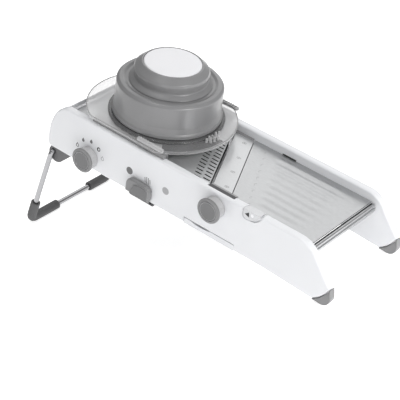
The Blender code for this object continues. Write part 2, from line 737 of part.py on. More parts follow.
def pinion_outline():
    """Trapezoid teeth about the shaft, drawn slimmer than the pitch for backlash."""
    points = []
    root, tip = PINION_RADIUS - TOOTH_DEPTH / 2, PINION_RADIUS + TOOTH_DEPTH / 2 - 0.2 * MM
    for i in range(PINION_TEETH):
        middle = 2 * math.pi * (i + 0.5) / PINION_TEETH
        for share, radius in ((-0.24, root), (-0.10, tip), (0.10, tip), (0.24, root)):
            angle = middle + share * 2 * math.pi / PINION_TEETH
            points.append((THICKNESS_KNOB_X + radius * math.cos(angle),
                           THICKNESS_KNOB_Z + radius * math.sin(angle)))
    return points


def thickness_drive(frame):
    """Thickness knob, its cross shaft and the two pinions on it."""
    make_knob("thickness_knob", frame, THICKNESS_KNOB_X, THICKNESS_KNOB_Z)
    start = -HALF_OUT + GAP
    length = HALF_IN + RAIL_WALL / 2 - GAP - start
    shaft = rod_shape((THICKNESS_KNOB_X, start, THICKNESS_KNOB_Z), length, SHAFT_RADIUS)
    place = frame_place(frame)
    shaft_mesh = mesh_of(shaft)
    shaft_mesh.transform(Matrix.Translation(-place))
    smooth(add_piece("thickness_shaft", shaft_mesh, "steel", frame, place))
    for name, side in (("pinion_near", -1), ("pinion_far", 1)):
        y_low = side * RAMP_BAR_Y - RAMP_BAR_WIDTH / 2
        hole = arc((THICKNESS_KNOB_X, THICKNESS_KNOB_Z), SHAFT_RADIUS + GAP / 2, 0, 337.5, 15)
        mesh = side_mesh(pinion_outline(), y_low, y_low + RAMP_BAR_WIDTH, [hole])
        mesh.transform(Matrix.Translation(-place))
        add_piece(name, mesh, "grey", frame, place)


def rack_teeth(base_z):
    """Teeth along the underside of a ramp bar, in mesh with the pinion at rest."""
    pitch = 2 * math.pi * PINION_RADIUS / PINION_TEETH
    tip = THICKNESS_KNOB_Z + PINION_RADIUS - TOOTH_DEPTH / 2 + 0.2 * MM
    points = []
    for i in range(-3, 9):
        middle = THICKNESS_KNOB_X + i * pitch
        for share, z in ((-0.24, base_z), (-0.10, tip), (0.10, tip), (0.24, base_z)):
            points.append((middle + share * pitch, z))
    return points


def ramp_top(x, leg_x, high):
    """Height of the ramp under a runway leg, at a place along the bar."""
    return high - (x - leg_x) * RAMP_SLOPE


def ramp_bars(frame):
    """Toothed bars that carry a ramp under each runway leg."""
    base = THICKNESS_KNOB_Z + PINION_RADIUS + TOOTH_DEPTH / 2
    top = base + RAMP_BAR_THICKNESS
    high = top + RUNWAY_DROP + 2 * MM
    half_leg = RAMP_LEG_LENGTH / 2
    outline = rack_teeth(base)
    end_x = RUNWAY_LEG_X[1] + half_leg + RACK_TRAVEL + 3 * MM
    outline += [(end_x, base), (end_x, top)]
    for leg_x in reversed(RUNWAY_LEG_X):
        low_x = leg_x + half_leg + RACK_TRAVEL + MM
        high_x = leg_x - half_leg - MM
        outline += [(low_x, ramp_top(low_x, leg_x, high)), (high_x, ramp_top(high_x, leg_x, high))]
        outline += [(high_x - 2 * MM, ramp_top(high_x, leg_x, high)), (high_x - 2 * MM, top)]
        if leg_x != RUNWAY_LEG_X[0]:
            outline += [(RUNWAY_LEG_X[0] + half_leg + RACK_TRAVEL + 3 * MM, top)]
    outline += [(RAMP_BAR_START, top), (RAMP_BAR_START, base)]
    for name, side in (("ramp_bar_near", -1), ("ramp_bar_far", 1)):
        y_low = side * RAMP_BAR_Y - RAMP_BAR_WIDTH / 2
        mesh = side_mesh(outline, y_low, y_low + RAMP_BAR_WIDTH)
        add_piece(name, mesh, "grey", frame)
    reach = RAMP_BAR_Y - RAMP_BAR_WIDTH / 2 - GAP
    strip_x = RAMP_BAR_START + 4 * MM
    strip = block_shape((strip_x, -reach, base + GAP), (strip_x + 8 * MM, reach, top - GAP))
    add_piece("ramp_cross_strip", mesh_of(strip), "grey", frame)


def runway(frame):
    """Slotted plate up to the blade, with the four legs that stand on the ramps."""
    slots = []
    for offset in COMB_OFFSETS:
        for y in comb_places():
            x = slanted_x(BLADE_EDGE_X - offset, y)
            half_x, half_y = COMB_SLOT_LENGTH / 2, COMB_SLOT_WIDTH / 2
            shift = half_row_shift(offset)
            x -= shift * SLANT
            slots.append([
                (x - half_x, y + shift - half_y), (x - half_x, y + shift + half_y),
                (x + half_x, y + shift + half_y), (x + half_x, y + shift - half_y)])
    half = HALF_IN - SLIP
    plan = [
        (RUNWAY_START, -half), (slanted_x(RUNWAY_END_X, -half), -half),
        (slanted_x(RUNWAY_END_X, half), half), (RUNWAY_START, half)]
    plate = deck_mesh(plan, -RUNWAY_TOP - RUNWAY_THICKNESS, -RUNWAY_TOP, slots)
    add_piece("runway_plate", plate, "steel", frame)
    runway_legs(frame)


def runway_legs(frame):
    """Side ribs under the runway, each with two sloping feet."""
    top = -RUNWAY_TOP - RUNWAY_THICKNESS - GAP
    rib = top - 1.3 * MM
    high = THICKNESS_KNOB_Z + PINION_RADIUS + TOOTH_DEPTH / 2 + RAMP_BAR_THICKNESS
    high += RUNWAY_DROP + 2 * MM + RUNNING
    half_leg = RAMP_LEG_LENGTH / 2
    outline = [(RUNWAY_START + 4 * MM, top), (RUNWAY_START + 4 * MM, rib)]
    for leg_x in RUNWAY_LEG_X:
        left, right = leg_x - half_leg, leg_x + half_leg
        outline += [(left, rib), (left, ramp_top(left, leg_x, high))]
        outline += [(right, ramp_top(right, leg_x, high)), (right, rib)]
    end_x = slanted_x(RUNWAY_END_X, RAMP_BAR_Y) - 8 * MM
    outline += [(end_x, rib), (end_x, top)]
    for name, side in (("runway_rib_near", -1), ("runway_rib_far", 1)):
        middle = side * RAMP_BAR_Y
        mesh = side_mesh(outline, middle - 1.5 * MM, middle + 1.5 * MM)
        add_piece(name, mesh, "grey", frame)


# ---- Julienne combs and their slider ------------------------------------------------------------

def comb_places():
    """Where the teeth of a comb stand across the deck."""
    first = -COMB_PITCH * (COMB_TEETH - 1) / 2
    return [first + i * COMB_PITCH for i in range(COMB_TEETH)]


def half_row_shift(offset):
    """The lower row stands half a pitch across from the upper row."""
    return COMB_PITCH / 4 if offset == COMB_OFFSETS[0] else -COMB_PITCH / 4


def comb_outline(tip_z, root_z, shift):
    """Front outline of a comb: a spine with thin teeth on top."""
    half_tooth = COMB_SLOT_WIDTH / 2 - RUNNING
    places = [y + shift for y in comb_places()]
    points = [(places[0] - 2 * MM, root_z - COMB_SPINE)]
    points += [(places[-1] + 2 * MM, root_z - COMB_SPINE), (places[-1] + 2 * MM, root_z)]
    for y in reversed(places):
        points += [(y + half_tooth, root_z), (y + half_tooth, tip_z)]
        points += [(y - half_tooth, tip_z), (y - half_tooth, root_z)]
    points += [(places[0] - 2 * MM, root_z)]
    return points


def combs(frame):
    """Two rows of julienne teeth on one diagonal carrier with a sloping foot."""
    tip = -COMB_TIP_BELOW
    root = tip - COMB_TOOTH_HEIGHT
    length = COMB_SLOT_LENGTH - 2 * RUNNING - 0.5 * MM
    for name, offset in (("comb_upper", COMB_OFFSETS[0]), ("comb_lower", COMB_OFFSETS[1])):
        outline = comb_outline(tip, root, half_row_shift(offset))
        mesh = outline_mesh(outline, length)
        turn = Matrix(((0, 0, 1, 0), (1, 0, 0, 0), (0, 1, 0, 0), (0, 0, 0, 1)))
        mesh.transform(turn)
        mesh.transform(Matrix.Translation((BLADE_EDGE_X - offset - length / 2, 0, 0)))
        shear_across(mesh)
        add_piece(name, mesh, "blade", frame)
    carrier_top = root - COMB_SPINE - GAP
    lane = SELECTOR_LANE_Y
    plan = slanted_strip(
        BLADE_EDGE_X - COMB_OFFSETS[0] - 6 * MM, BLADE_EDGE_X - COMB_OFFSETS[1] + 5 * MM,
        lane - SELECTOR_LANE_WIDTH / 2, -lane)
    carrier = deck_mesh(plan, carrier_top - CARRIER_THICKNESS, carrier_top)
    piece = add_piece("comb_carrier", carrier, "dark", frame)
    join(piece, comb_foot(carrier_top - CARRIER_THICKNESS))


def comb_foot_x():
    """Middle of the carrier's foot along the deck."""
    return slanted_x(BLADE_EDGE_X - COMB_OFFSETS[0] + 5 * MM, SELECTOR_LANE_Y)


def comb_foot_height():
    """Height of the foot's slope at its middle, in the slider's middle position."""
    carrier_bottom = -COMB_TIP_BELOW - COMB_TOOTH_HEIGHT - COMB_SPINE - GAP - CARRIER_THICKNESS
    return carrier_bottom - COMB_LIFT - 1.4 * MM


def comb_foot(carrier_bottom):
    """Sloping foot that stands on the slider's ramp."""
    middle, half, slope = comb_foot_x(), 4 * MM, COMB_SLOPE
    height = comb_foot_height()
    outline = [
        (middle - half, height - half * slope), (middle + half, height + half * slope),
        (middle + half, carrier_bottom + MM), (middle - half, carrier_bottom + MM)]
    lane = SELECTOR_LANE_Y
    return side_mesh(outline, lane - 1.5 * MM, lane + 1.5 * MM)


def selector(frame):
    """Slider on the near rail's bottom edge, with the ramp that lifts the combs."""
    half = SELECTOR_LENGTH / 2
    bottom = -RAIL_DEPTH - 3.5 * MM
    top = bottom + SELECTOR_HEIGHT
    radius = 13 * MM
    outline = arc((SELECTOR_X + half - radius, top - radius), radius, 0, 90, 6)
    outline += arc((SELECTOR_X - half + radius, top - radius), radius, 90, 180, 6)
    outline += [(SELECTOR_X - half, bottom), (SELECTOR_X + half, bottom)]
    face = -HALF_OUT - SLIP
    grip = add_piece("selector_grip", side_mesh(outline, face - SELECTOR_PROUD, face), "grey", frame)
    rounded(grip, 1.6 * MM)
    selector_bar(frame, bottom)


def selector_bar(frame, bottom):
    """Hook under the rail, web and ramp, as one moulding."""
    lane, width = SELECTOR_LANE_Y, SELECTOR_LANE_WIDTH
    half = SELECTOR_LENGTH / 2
    foot_x, height = comb_foot_x(), comb_foot_height() - RUNNING
    reach = SELECTOR_TRAVEL + 5 * MM
    bar_low = comb_foot_height() - COMB_LIFT - 5.5 * MM
    near_x, far_x = foot_x - reach, foot_x + reach
    outline = [
        (SELECTOR_X - half + 2 * MM, bottom + MM), (SELECTOR_X + half - 2 * MM, bottom + MM),
        (SELECTOR_X + half - 2 * MM, bar_low), (far_x, bar_low),
        (far_x, height + reach * COMB_SLOPE), (near_x, height - reach * COMB_SLOPE),
        (SELECTOR_X - half + 2 * MM, height - reach * COMB_SLOPE)]
    bar = add_piece(
        "selector_bar", side_mesh(outline, lane - width / 2, lane + width / 2), "dark", frame)
    hook = block_shape(
        (SELECTOR_X - half + 2 * MM, -HALF_OUT - SLIP + GAP, bottom + MM),
        (SELECTOR_X + half - 2 * MM, lane, -RAIL_DEPTH - SLIP))
    join(bar, mesh_of(hook))


# ---- Blade lock, latch and drawer ---------------------------------------------------------------

def blade_lock(frame):
    """Lock knob, its short shaft and the lobe that holds the blade's near end."""
    make_knob("lock_knob", frame, LOCK_KNOB_X, LOCK_KNOB_Z)
    start = -HALF_OUT + GAP
    end = -HALF_IN + 4 * MM
    shaft = rod_shape((LOCK_KNOB_X, start, LOCK_KNOB_Z), end - start, LOCK_SHAFT_RADIUS)
    place = frame_place(frame)
    mesh = mesh_of(shaft)
    mesh.transform(Matrix.Translation(-place))
    piece = smooth(add_piece("lock_shaft", mesh, "steel", frame, place))
    half = LOCK_SHAFT_RADIUS - 0.4 * MM
    lobe_y = -HALF_IN + 1 * MM
    lobe = block_shape(
        (LOCK_KNOB_X - half, lobe_y, LOCK_KNOB_Z),
        (LOCK_KNOB_X + half, end - 0.2 * MM, LOCK_KNOB_Z + LOCK_LOBE))
    join(piece, mesh_of(lobe))


def latch_plan(grow, travel, over):
    """Plan outline of the latch's top plate, grown for its pocket when asked."""
    near = -HALF_OUT + GAP - over - grow
    far = -HALF_IN - GAP + over + grow
    low = LATCH_X - grow
    high = LATCH_X + LATCH_LENGTH + grow + travel
    bow = (LATCH_X + 0.9 * MM - grow, -HALF_OUT + GAP + 6 * MM)
    return [(low, near), (high, near), (high, far), (LATCH_X + 5.2 * MM - grow, far), bow]


def latch_side(grow, travel, over):
    """Side outline of the latch: a rounded tongue, grown for its pocket when asked."""
    low = LATCH_X - grow
    high = LATCH_X + LATCH_LENGTH + grow + travel
    top = -GAP + over
    bottom = -LATCH_DROP - grow
    turn = arc((low + 5.6 * MM, bottom + 5.2 * MM), 5.6 * MM, 180, 280, 6, 5.2 * MM)
    tail = [(high - 9 * MM, bottom + 1.2 * MM), (high - 3.4 * MM, bottom + 5.7 * MM), (high, -2.2 * MM)]
    return [(low + 0.5 * MM, top)] + turn + tail + [(high, top)]


def release_latch(frame):
    """Flush latch over the near rail's top edge."""
    top = -GAP
    cap = deck_mesh(latch_plan(0, 0, 0), top - LATCH_PLATE, top)
    latch = add_piece("release_latch", cap, "clear", frame)
    cheek = side_mesh(latch_side(0, 0, 0), -HALF_OUT - GAP, -HALF_OUT + LATCH_PLATE - SLIP)
    join(latch, cheek)


def storage_drawer(frame):
    """Shallow drawer in the near rail's bottom edge, with a finger notch in its front."""
    x_low, x_high = DRAWER_X, DRAWER_X + DRAWER_LENGTH
    front, back = -HALF_OUT, -HALF_OUT + DRAWER_DEPTH
    low, high = -RAIL_DEPTH, -RAIL_DEPTH + DRAWER_HEIGHT
    drawer = add_piece(
        "storage_drawer", mesh_of(block_shape((x_low, front, low), (x_high, back, high))),
        "white", frame)
    wall = DRAWER_WALL
    hollow = block_shape(
        (x_low + wall, front + RAIL_WALL, low + wall), (x_high - wall, back - wall, high + MM))
    notch = block_shape(
        (x_low + 8 * MM, front - MM, high - 2.2 * MM), (x_low + 36 * MM, front + 4 * MM, high + MM))
    cut(drawer, mesh_of(hollow), mesh_of(notch))


def drawer_guide():
    """Fixed shelf that carries the drawer inside the near rail."""
    x_low, x_high = DRAWER_X - 2 * MM, DRAWER_X + DRAWER_LENGTH + 2 * MM
    high = -RAIL_DEPTH + DRAWER_HEIGHT + SLIP
    back = -HALF_OUT + DRAWER_DEPTH + SLIP
    lid = block_shape((x_low, -HALF_PLATE, high), (x_high, back, high + 1.5 * MM))
    add_piece("drawer_guide", mesh_of(lid), "white", DECK)


# ---- Food carriage and pusher -------------------------------------------------------------------

def carriage_outline():
    """Plan of the clear plate: two arcs, cut straight beside the rails."""
    half = CARRIAGE_HALF_WIDTH
    front_angle = math.degrees(math.asin(half / CARRIAGE_FRONT_RADIUS))
    rear_angle = math.degrees(math.asin(half / CARRIAGE_REAR_RADIUS))
    rear_x = PUSHER_X - CARRIAGE_REAR_OFFSET
    front = arc((PUSHER_X, 0), CARRIAGE_FRONT_RADIUS, -front_angle, front_angle, 16)
    rear = arc((rear_x, 0), CARRIAGE_REAR_RADIUS, 180 - rear_angle, 180 + rear_angle, 14)
    return front + rear


def carriage(frame):
    """Clear plate, food collar, side runners and finger clips."""
    mouth = arc((PUSHER_X, 0), PLUNGER_RADIUS + COLLAR_WALL + 2 * SLIP + GAP, 0, 348.75, 31)
    low, high = CARRIAGE_PLATE_Z, CARRIAGE_PLATE_Z + CARRIAGE_PLATE
    plate = deck_mesh(carriage_outline(), low, high, [mouth])
    add_piece("carriage_plate", plate, "clear", frame)
    collar(frame)
    for side, word in ((-1, "near"), (1, "far")):
        carriage_runner("carriage_runner_" + word, side, frame)
        carriage_clip("carriage_clip_" + word, side, frame)


def collar(frame):
    """Turned clear collar: a flange on the plate and a skirt that holds the food."""
    inner = PLUNGER_RADIUS + 2 * SLIP
    outer = inner + COLLAR_WALL
    low = CARRIAGE_PLATE_Z + CARRIAGE_PLATE + GAP
    top = PUSHER_FOOT_Z - 2 * GAP
    profile = [
        (inner, top), (COLLAR_RADIUS - MM, top), (COLLAR_RADIUS, top - MM), (COLLAR_RADIUS, low),
        (outer, low), (outer, -6 * MM), (inner, -6 * MM)]
    turned("food_collar", profile, "clear", frame, (PUSHER_X, 0, 0), closed=True)


def carriage_runner(name, side, frame):
    """Runner that rests on a rail's top and guides on its inner edge."""
    x_low = PUSHER_X - RUNNER_LENGTH / 2
    x_high = PUSHER_X + RUNNER_LENGTH / 2
    inner = HALF_IN - SLIP
    y_low, y_high = sorted((side * (HALF_IN + 1 * MM), side * (HALF_IN + 1 * MM + RUNNER_WIDTH)))
    block = block_shape((x_low, y_low, GAP), (x_high, y_high, CARRIAGE_PLATE_Z - GAP))
    runner = add_piece(name, mesh_of(block), "clear", frame)
    y_low, y_high = sorted((side * (inner - 1.8 * MM), side * inner))
    guide = block_shape((x_low, y_low, -1.6 * MM), (x_high, y_high, CARRIAGE_PLATE_Z - GAP))
    y_low, y_high = sorted((side * (inner - 1.8 * MM), side * (HALF_IN + 2 * MM)))
    web = block_shape((x_low, y_low, 2.6 * MM), (x_high, y_high, CARRIAGE_PLATE_Z - GAP))
    join(runner, mesh_of(guide), mesh_of(web))


def carriage_clip(name, side, frame):
    """Finger clip that stands on the plate beside the collar."""
    low = CARRIAGE_PLATE_Z + CARRIAGE_PLATE + GAP
    outer = CARRIAGE_HALF_WIDTH - 0.5 * MM
    inner = max(outer - CLIP_WIDTH, 0)
    y_low, y_high = sorted((side * inner, side * outer))
    x_low = CLIP_X + 4 * MM
    block = block_shape((x_low, y_low, low), (x_low + CLIP_LENGTH, y_high, low + CLIP_HEIGHT))
    rounded(add_piece(name, mesh_of(block), "clear", frame), 1.5 * MM)


def pusher(frame):
    """Grey skirt and grip, white cap, and the pronged plunger inside."""
    place = (PUSHER_X, 0, 0)
    wall = PUSHER_WALL
    shoulder, foot = PUSHER_SHOULDER_RADIUS, PUSHER_RADIUS
    top, low = PUSHER_SHOULDER_Z, PUSHER_FOOT_Z
    seat = GRIP_RADIUS - 4 * MM
    skirt = [
        (seat, top), (shoulder - 9 * MM, top), (shoulder - 6 * MM, top + 1.4 * MM),
        (shoulder - 2 * MM, top + MM), (shoulder, top - 1.5 * MM), (shoulder + 0.6 * MM, low + 8 * MM),
        (foot, low + 2.5 * MM), (foot, low), (foot - wall, low), (foot - wall, low + 2.5 * MM),
        (shoulder - wall, low + 9 * MM), (shoulder - wall, top - wall - MM), (seat, top - wall - MM)]
    turned("pusher_skirt", skirt, "grey", frame, place, closed=True)
    grip_profile = [
        (CAP_RADIUS + GAP, GRIP_TOP), (GRIP_RADIUS - 1.8 * MM, GRIP_TOP - 5.8 * MM),
        (GRIP_RADIUS - 0.4 * MM, GRIP_TOP - 8 * MM), (GRIP_RADIUS - 3 * MM, GRIP_TOP - 15 * MM),
        (GRIP_RADIUS + 1.5 * MM, top + 2.6 * MM), (GRIP_RADIUS + 2 * MM, top + GAP),
        (seat + 2 * MM, top + GAP), (seat, GRIP_TOP - 14 * MM),
        (CAP_RADIUS - 4 * MM, GRIP_TOP - CAP_THICKNESS - 3 * MM),
        (CAP_RADIUS - 4 * MM, GRIP_TOP - CAP_THICKNESS - GAP),
        (CAP_RADIUS + GAP, GRIP_TOP - CAP_THICKNESS - GAP)]
    turned("pusher_grip", grip_profile, "grey", frame, place, closed=True)
    cap = [(0, GRIP_TOP + 0.4 * MM), (CAP_RADIUS - MM, GRIP_TOP + 0.2 * MM),
           (CAP_RADIUS, GRIP_TOP - 0.6 * MM), (CAP_RADIUS, GRIP_TOP - CAP_THICKNESS),
           (0, GRIP_TOP - CAP_THICKNESS)]
    turned("pusher_cap", cap, "white", frame, place)
    plunger(frame)


def plunger(frame):
    """Plunger cup that presses the food, with rings of holding prongs under its floor."""
    place = Vector((PUSHER_X, 0, 0))
    radius, floor = PLUNGER_RADIUS, PLUNGER_FLOOR_Z
    rim = PUSHER_SHOULDER_Z - PUSHER_WALL - MM - GAP
    wall = PUSHER_WALL
    profile = [
        (radius - wall, rim), (radius, rim), (radius, floor), (0, floor),
        (0, floor + wall), (radius - wall, floor + wall)]
    piece = turned("plunger", profile, "grey", frame, place, closed=False)
    close_profile(piece)
    join(piece, prong_ring(7, 18 * MM), prong_ring(12, 36 * MM))


def close_profile(piece):
    """Close an open profile from its last point back to its first."""
    shape = bmesh.new()
    shape.from_mesh(piece.data)
    shape.verts.ensure_lookup_table()
    shape.edges.new((shape.verts[-1], shape.verts[0]))
    shape.to_mesh(piece.data)
    shape.free()


def prong_ring(count, ring_radius):
    """A ring of pointed prongs that reach down from the plunger's floor."""
    shape = bmesh.new()
    depth = PRONG_LENGTH + MM
    for i in range(count):
        angle = 2 * math.pi * i / count
        place = Matrix.Translation((
            PUSHER_X + ring_radius * math.cos(angle), ring_radius * math.sin(angle),
            PLUNGER_FLOOR_Z + MM - depth / 2))
        bmesh.ops.create_cone(
            shape, cap_ends=True, segments=8, radius1=0.4 * MM, radius2=1.8 * MM, depth=depth,
            matrix=place)
    return mesh_of(shape)


# ---- Assembly -----------------------------------------------------------------------------------

def clear_scene():
    """Start from an empty scene."""
    for item in list(bpy.data.objects):
        bpy.data.objects.remove(item)


def make_collections():
    """One collection for the slicer and one for its cutters."""
    parts = bpy.data.collections.new("mandoline_slicer")
    cutters = bpy.data.collections.new("cutters")
    for collection in (parts, cutters):
        bpy.context.scene.collection.children.link(collection)
    return parts, cutters


def make_deck():
    """The tilted frame that every piece hangs on."""
    deck = bpy.data.objects.new("deck_frame", None)
    PARTS.objects.link(deck)
    tilt = tilt_of_deck()
    deck.rotation_euler = (0, tilt, 0)
    deck.location = deck_place(tilt)
    return deck


def fixed_pieces():
    """Everything that stays with the rails."""
    near_rail()
    far_rail()
    make_foot("near_foot", -1)
    make_foot("far_foot", 1)
    head_bridge()
    front_bar()
    landing_plate()
    make_ledge("ledge_near", -1)
    make_ledge("ledge_far", 1)
    slicing_blade()
    blade_ends()
    blade_bed()
    cross_ties()
    make_lug("near_lug", -1)
    make_lug("far_lug", 1)
    drawer_guide()


def moving_pieces():
    """Everything that moves, each on the axis of its own joint."""
    stand(joint_frame("stand_axis", (STAND_PIVOT_X, 0, STAND_PIVOT_Z)))
    thickness_drive(joint_frame("thickness_axis", (THICKNESS_KNOB_X, 0, THICKNESS_KNOB_Z)))
    ramp_bars(joint_frame("ramp_way", (0, 0, 0)))
    runway(joint_frame("runway_way", (0, 0, 0)))
    combs(joint_frame("comb_way", (0, 0, 0)))
    selector(joint_frame("selector_way", (0, 0, 0)))
    blade_lock(joint_frame("lock_axis", (LOCK_KNOB_X, 0, LOCK_KNOB_Z)))
    release_latch(joint_frame("latch_way", (0, 0, 0)))
    storage_drawer(joint_frame("drawer_way", (0, 0, 0)))
    carriage(joint_frame("carriage_way", (0, 0, 0)))
    pusher(joint_frame("pusher_way", (0, 0, 0)))


clear_scene()
PARTS, CUTTERS = make_collections()
DECK = make_deck()
fixed_pieces()
moving_pieces()
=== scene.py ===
"""Mandoline slicer: the look of every piece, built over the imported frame.

Pieces are drawn in millimetres in the deck frame. X runs down the deck from the upper end of the
rails, Y runs across it from the near rail to the far rail, and Z stands square to it with zero at
the rails' tops. Each piece rides on the body that carries it.
"""

import json
import logging
import math
from dataclasses import dataclass
from enum import Enum
from typing import Any, Iterable, Sequence

import bmesh
import bpy
from mathutils import Matrix, Vector

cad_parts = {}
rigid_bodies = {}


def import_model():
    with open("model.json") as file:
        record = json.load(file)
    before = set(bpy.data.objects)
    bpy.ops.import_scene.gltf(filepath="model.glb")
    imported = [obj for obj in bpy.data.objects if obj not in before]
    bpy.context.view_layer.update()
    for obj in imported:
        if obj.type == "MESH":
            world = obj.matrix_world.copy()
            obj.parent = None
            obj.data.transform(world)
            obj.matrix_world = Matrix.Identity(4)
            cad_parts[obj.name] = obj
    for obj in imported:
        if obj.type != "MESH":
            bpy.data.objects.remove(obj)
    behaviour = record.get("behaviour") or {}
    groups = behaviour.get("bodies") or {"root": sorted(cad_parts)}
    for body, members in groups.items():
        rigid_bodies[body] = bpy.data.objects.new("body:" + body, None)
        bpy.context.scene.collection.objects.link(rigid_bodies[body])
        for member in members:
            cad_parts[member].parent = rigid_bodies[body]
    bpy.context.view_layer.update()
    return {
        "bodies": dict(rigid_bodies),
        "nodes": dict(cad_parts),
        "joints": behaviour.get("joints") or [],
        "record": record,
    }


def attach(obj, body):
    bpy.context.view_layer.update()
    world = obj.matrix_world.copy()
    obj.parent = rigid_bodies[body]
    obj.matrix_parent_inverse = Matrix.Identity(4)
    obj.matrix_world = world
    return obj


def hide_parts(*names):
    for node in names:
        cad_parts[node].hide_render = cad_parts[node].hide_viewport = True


LOG = logging.getLogger("mandoline")
MM = 0.001
WELD = 0.002                 # points closer than this are one point
SLEEVE_CHAMFER = 0.35
WIRE_CHAMFER = 0.2
GAP = 0.3                    # between pieces that touch
SLIP = 0.5                   # beside pieces that slide along each other
HALF_IN = 58.0               # half of the clear width between the rails
HALF_OUT = 67.5              # half of the width over the rails
RAIL_WALL = HALF_OUT - HALF_IN
SLANT = math.tan(math.radians(25))
DECK_TILT = math.radians(16.1246)
BLADE_EDGE = 192.0           # cutting edge at mid width
THROAT = 3                   # runway's lower edge to the cutting edge
KNOB_PLACES = ((62.6, -43.2), (236.0, -17.3))
END_BLOCK = (218.55, 253.05)
PUSHER_X = 109.8

Point = tuple[float, float]
Place = tuple[float, float, float]
Corner = tuple[float, float, float]      # a point and the radius that rounds it
Profile = list[Point]


class Body(Enum):
    """The moving bodies that pieces ride on."""

    FRAME = "frame"
    STAND = "stand"
    DIAL = "thickness_dial"
    RUNWAY = "runway"
    SELECTOR = "selector"
    LOCK = "blade_lock"
    LATCH = "latch"
    DRAWER = "drawer"
    CARRIAGE = "carriage"
    PUSHER = "pusher"


class Slot(Enum):
    """The record's material slots."""

    WHITE = "white_shell"
    GREY = "grey_trim"
    RUBBER = "dark_rubber"
    DARK = "dark_plastic"
    PLATE = "brushed_plate"
    BLADE = "blade_steel"
    ROD = "polished_rod"
    CLEAR = "clear_plastic"


# ---- Finishes -----------------------------------------------------------------------------------

def linear(hex_colour: str) -> tuple[float, float, float, float]:
    """Turn one sRGB hex colour into linear red, green, blue and alpha.

    Args:
        hex_colour: six hex digits.

    Returns:
        The colour as a shader takes it.
    """
    channels = [int(hex_colour[i:i + 2], 16) / 255 for i in (0, 2, 4)]
    curve = [c / 12.92 if c <= 0.04045 else ((c + 0.055) / 1.055) ** 2.4 for c in channels]
    return (*curve, 1.0)


def add_node(tree: bpy.types.NodeTree, kind: str, values: dict[str | int, Any] | None = None,
             links: dict[str | int, Any] | None = None, **settings: Any) -> bpy.types.Node:
    """Add one shader node with its settings, socket values and incoming links.

    Args:
        tree: the node tree to add to.
        kind: the node's type name.
        values: socket name or number and the constant to put there.
        links: socket name or number and the output socket that feeds it.
        **settings: properties of the node itself.

    Returns:
        The new node.
    """
    node = tree.nodes.new(kind)
    for name, value in settings.items():
        setattr(node, name, value)
    for socket, value in (values or {}).items():
        node.inputs[socket].default_value = value
    for socket, source in (links or {}).items():
        tree.links.new(source, node.inputs[socket])
    return node


def empty_material(name: str) -> tuple[bpy.types.Material, bpy.types.NodeTree]:
    """A new material with an empty node tree.

    Args:
        name: the material's name.

    Returns:
        The material and its node tree.
    """
    material = bpy.data.materials.new(name)
    material.use_nodes = True
    material.node_tree.nodes.clear()
    return material, material.node_tree


def close_material(tree: bpy.types.NodeTree, shader: bpy.types.Node) -> None:
    """Send a shader to the material's output."""
    add_node(tree, "ShaderNodeOutputMaterial", links={"Surface": shader.outputs[0]})


def surface_shader(tree: bpy.types.NodeTree, finish: "Moulding | Steel", tint: bpy.types.Node,
                   texture: bpy.types.Node, spread: Point, strength: float,
                   values: dict[str | int, Any]) -> bpy.types.Node:
    """A shader whose colour follows one pattern, and whose sheen and relief follow another.

    Args:
        tree: the node tree to add to.
        finish: the finish, with its colours, roughness and relief.
        tint: pattern that mixes the two colours.
        texture: pattern that breaks the sheen and lifts the surface.
        spread: how far the roughness goes down and up from its middle.
        strength: strength of the relief.
        values: further values of the shader.

    Returns:
        The shader.
    """
    colour = add_node(tree, "ShaderNodeMix", {6: linear(finish.colour), 7: linear(finish.shade)},
                      {0: tint.outputs[0]}, data_type="RGBA")
    smooth, rough = finish.roughness - spread[0], finish.roughness + spread[1]
    sheen = add_node(tree, "ShaderNodeMapRange", {"To Min": smooth, "To Max": rough},
                     {"Value": texture.outputs[0]})
    bump = add_node(tree, "ShaderNodeBump", {"Strength": strength, "Distance": finish.relief * MM},
                    {"Height": texture.outputs[0]})
    return add_node(tree, "ShaderNodeBsdfPrincipled", values,
                    {"Base Color": colour.outputs[2], "Roughness": sheen.outputs[0],
                     "Normal": bump.outputs[0]})


@dataclass(frozen=True)
class Moulding:
    """Injection-moulded plastic or rubber with a fine texture from the tool."""

    name: str
    colour: str
    shade: str
    roughness: float
    grain: float = 0.9       # size of the moulded texture, in mm
    relief: float = 0.012    # height of that texture, in mm
    coat: float = 0.0

    def material(self) -> bpy.types.Material:
        """Build the material: an even colour that drifts a little, and a broken sheen.

        Returns:
            The material.
        """
        material, tree = empty_material(self.name)
        place = add_node(tree, "ShaderNodeTexCoord").outputs["Object"]
        drift = add_node(tree, "ShaderNodeTexNoise", {"Scale": 1000 / 60, "Detail": 2.0},
                         {"Vector": place})
        grain = add_node(tree, "ShaderNodeTexNoise", {"Scale": 1000 / self.grain, "Detail": 3.0},
                         {"Vector": place})
        shader = surface_shader(tree, self, drift, grain, (0.05, 0.07), 0.6,
                                {"Coat Weight": self.coat})
        close_material(tree, shader)
        return material


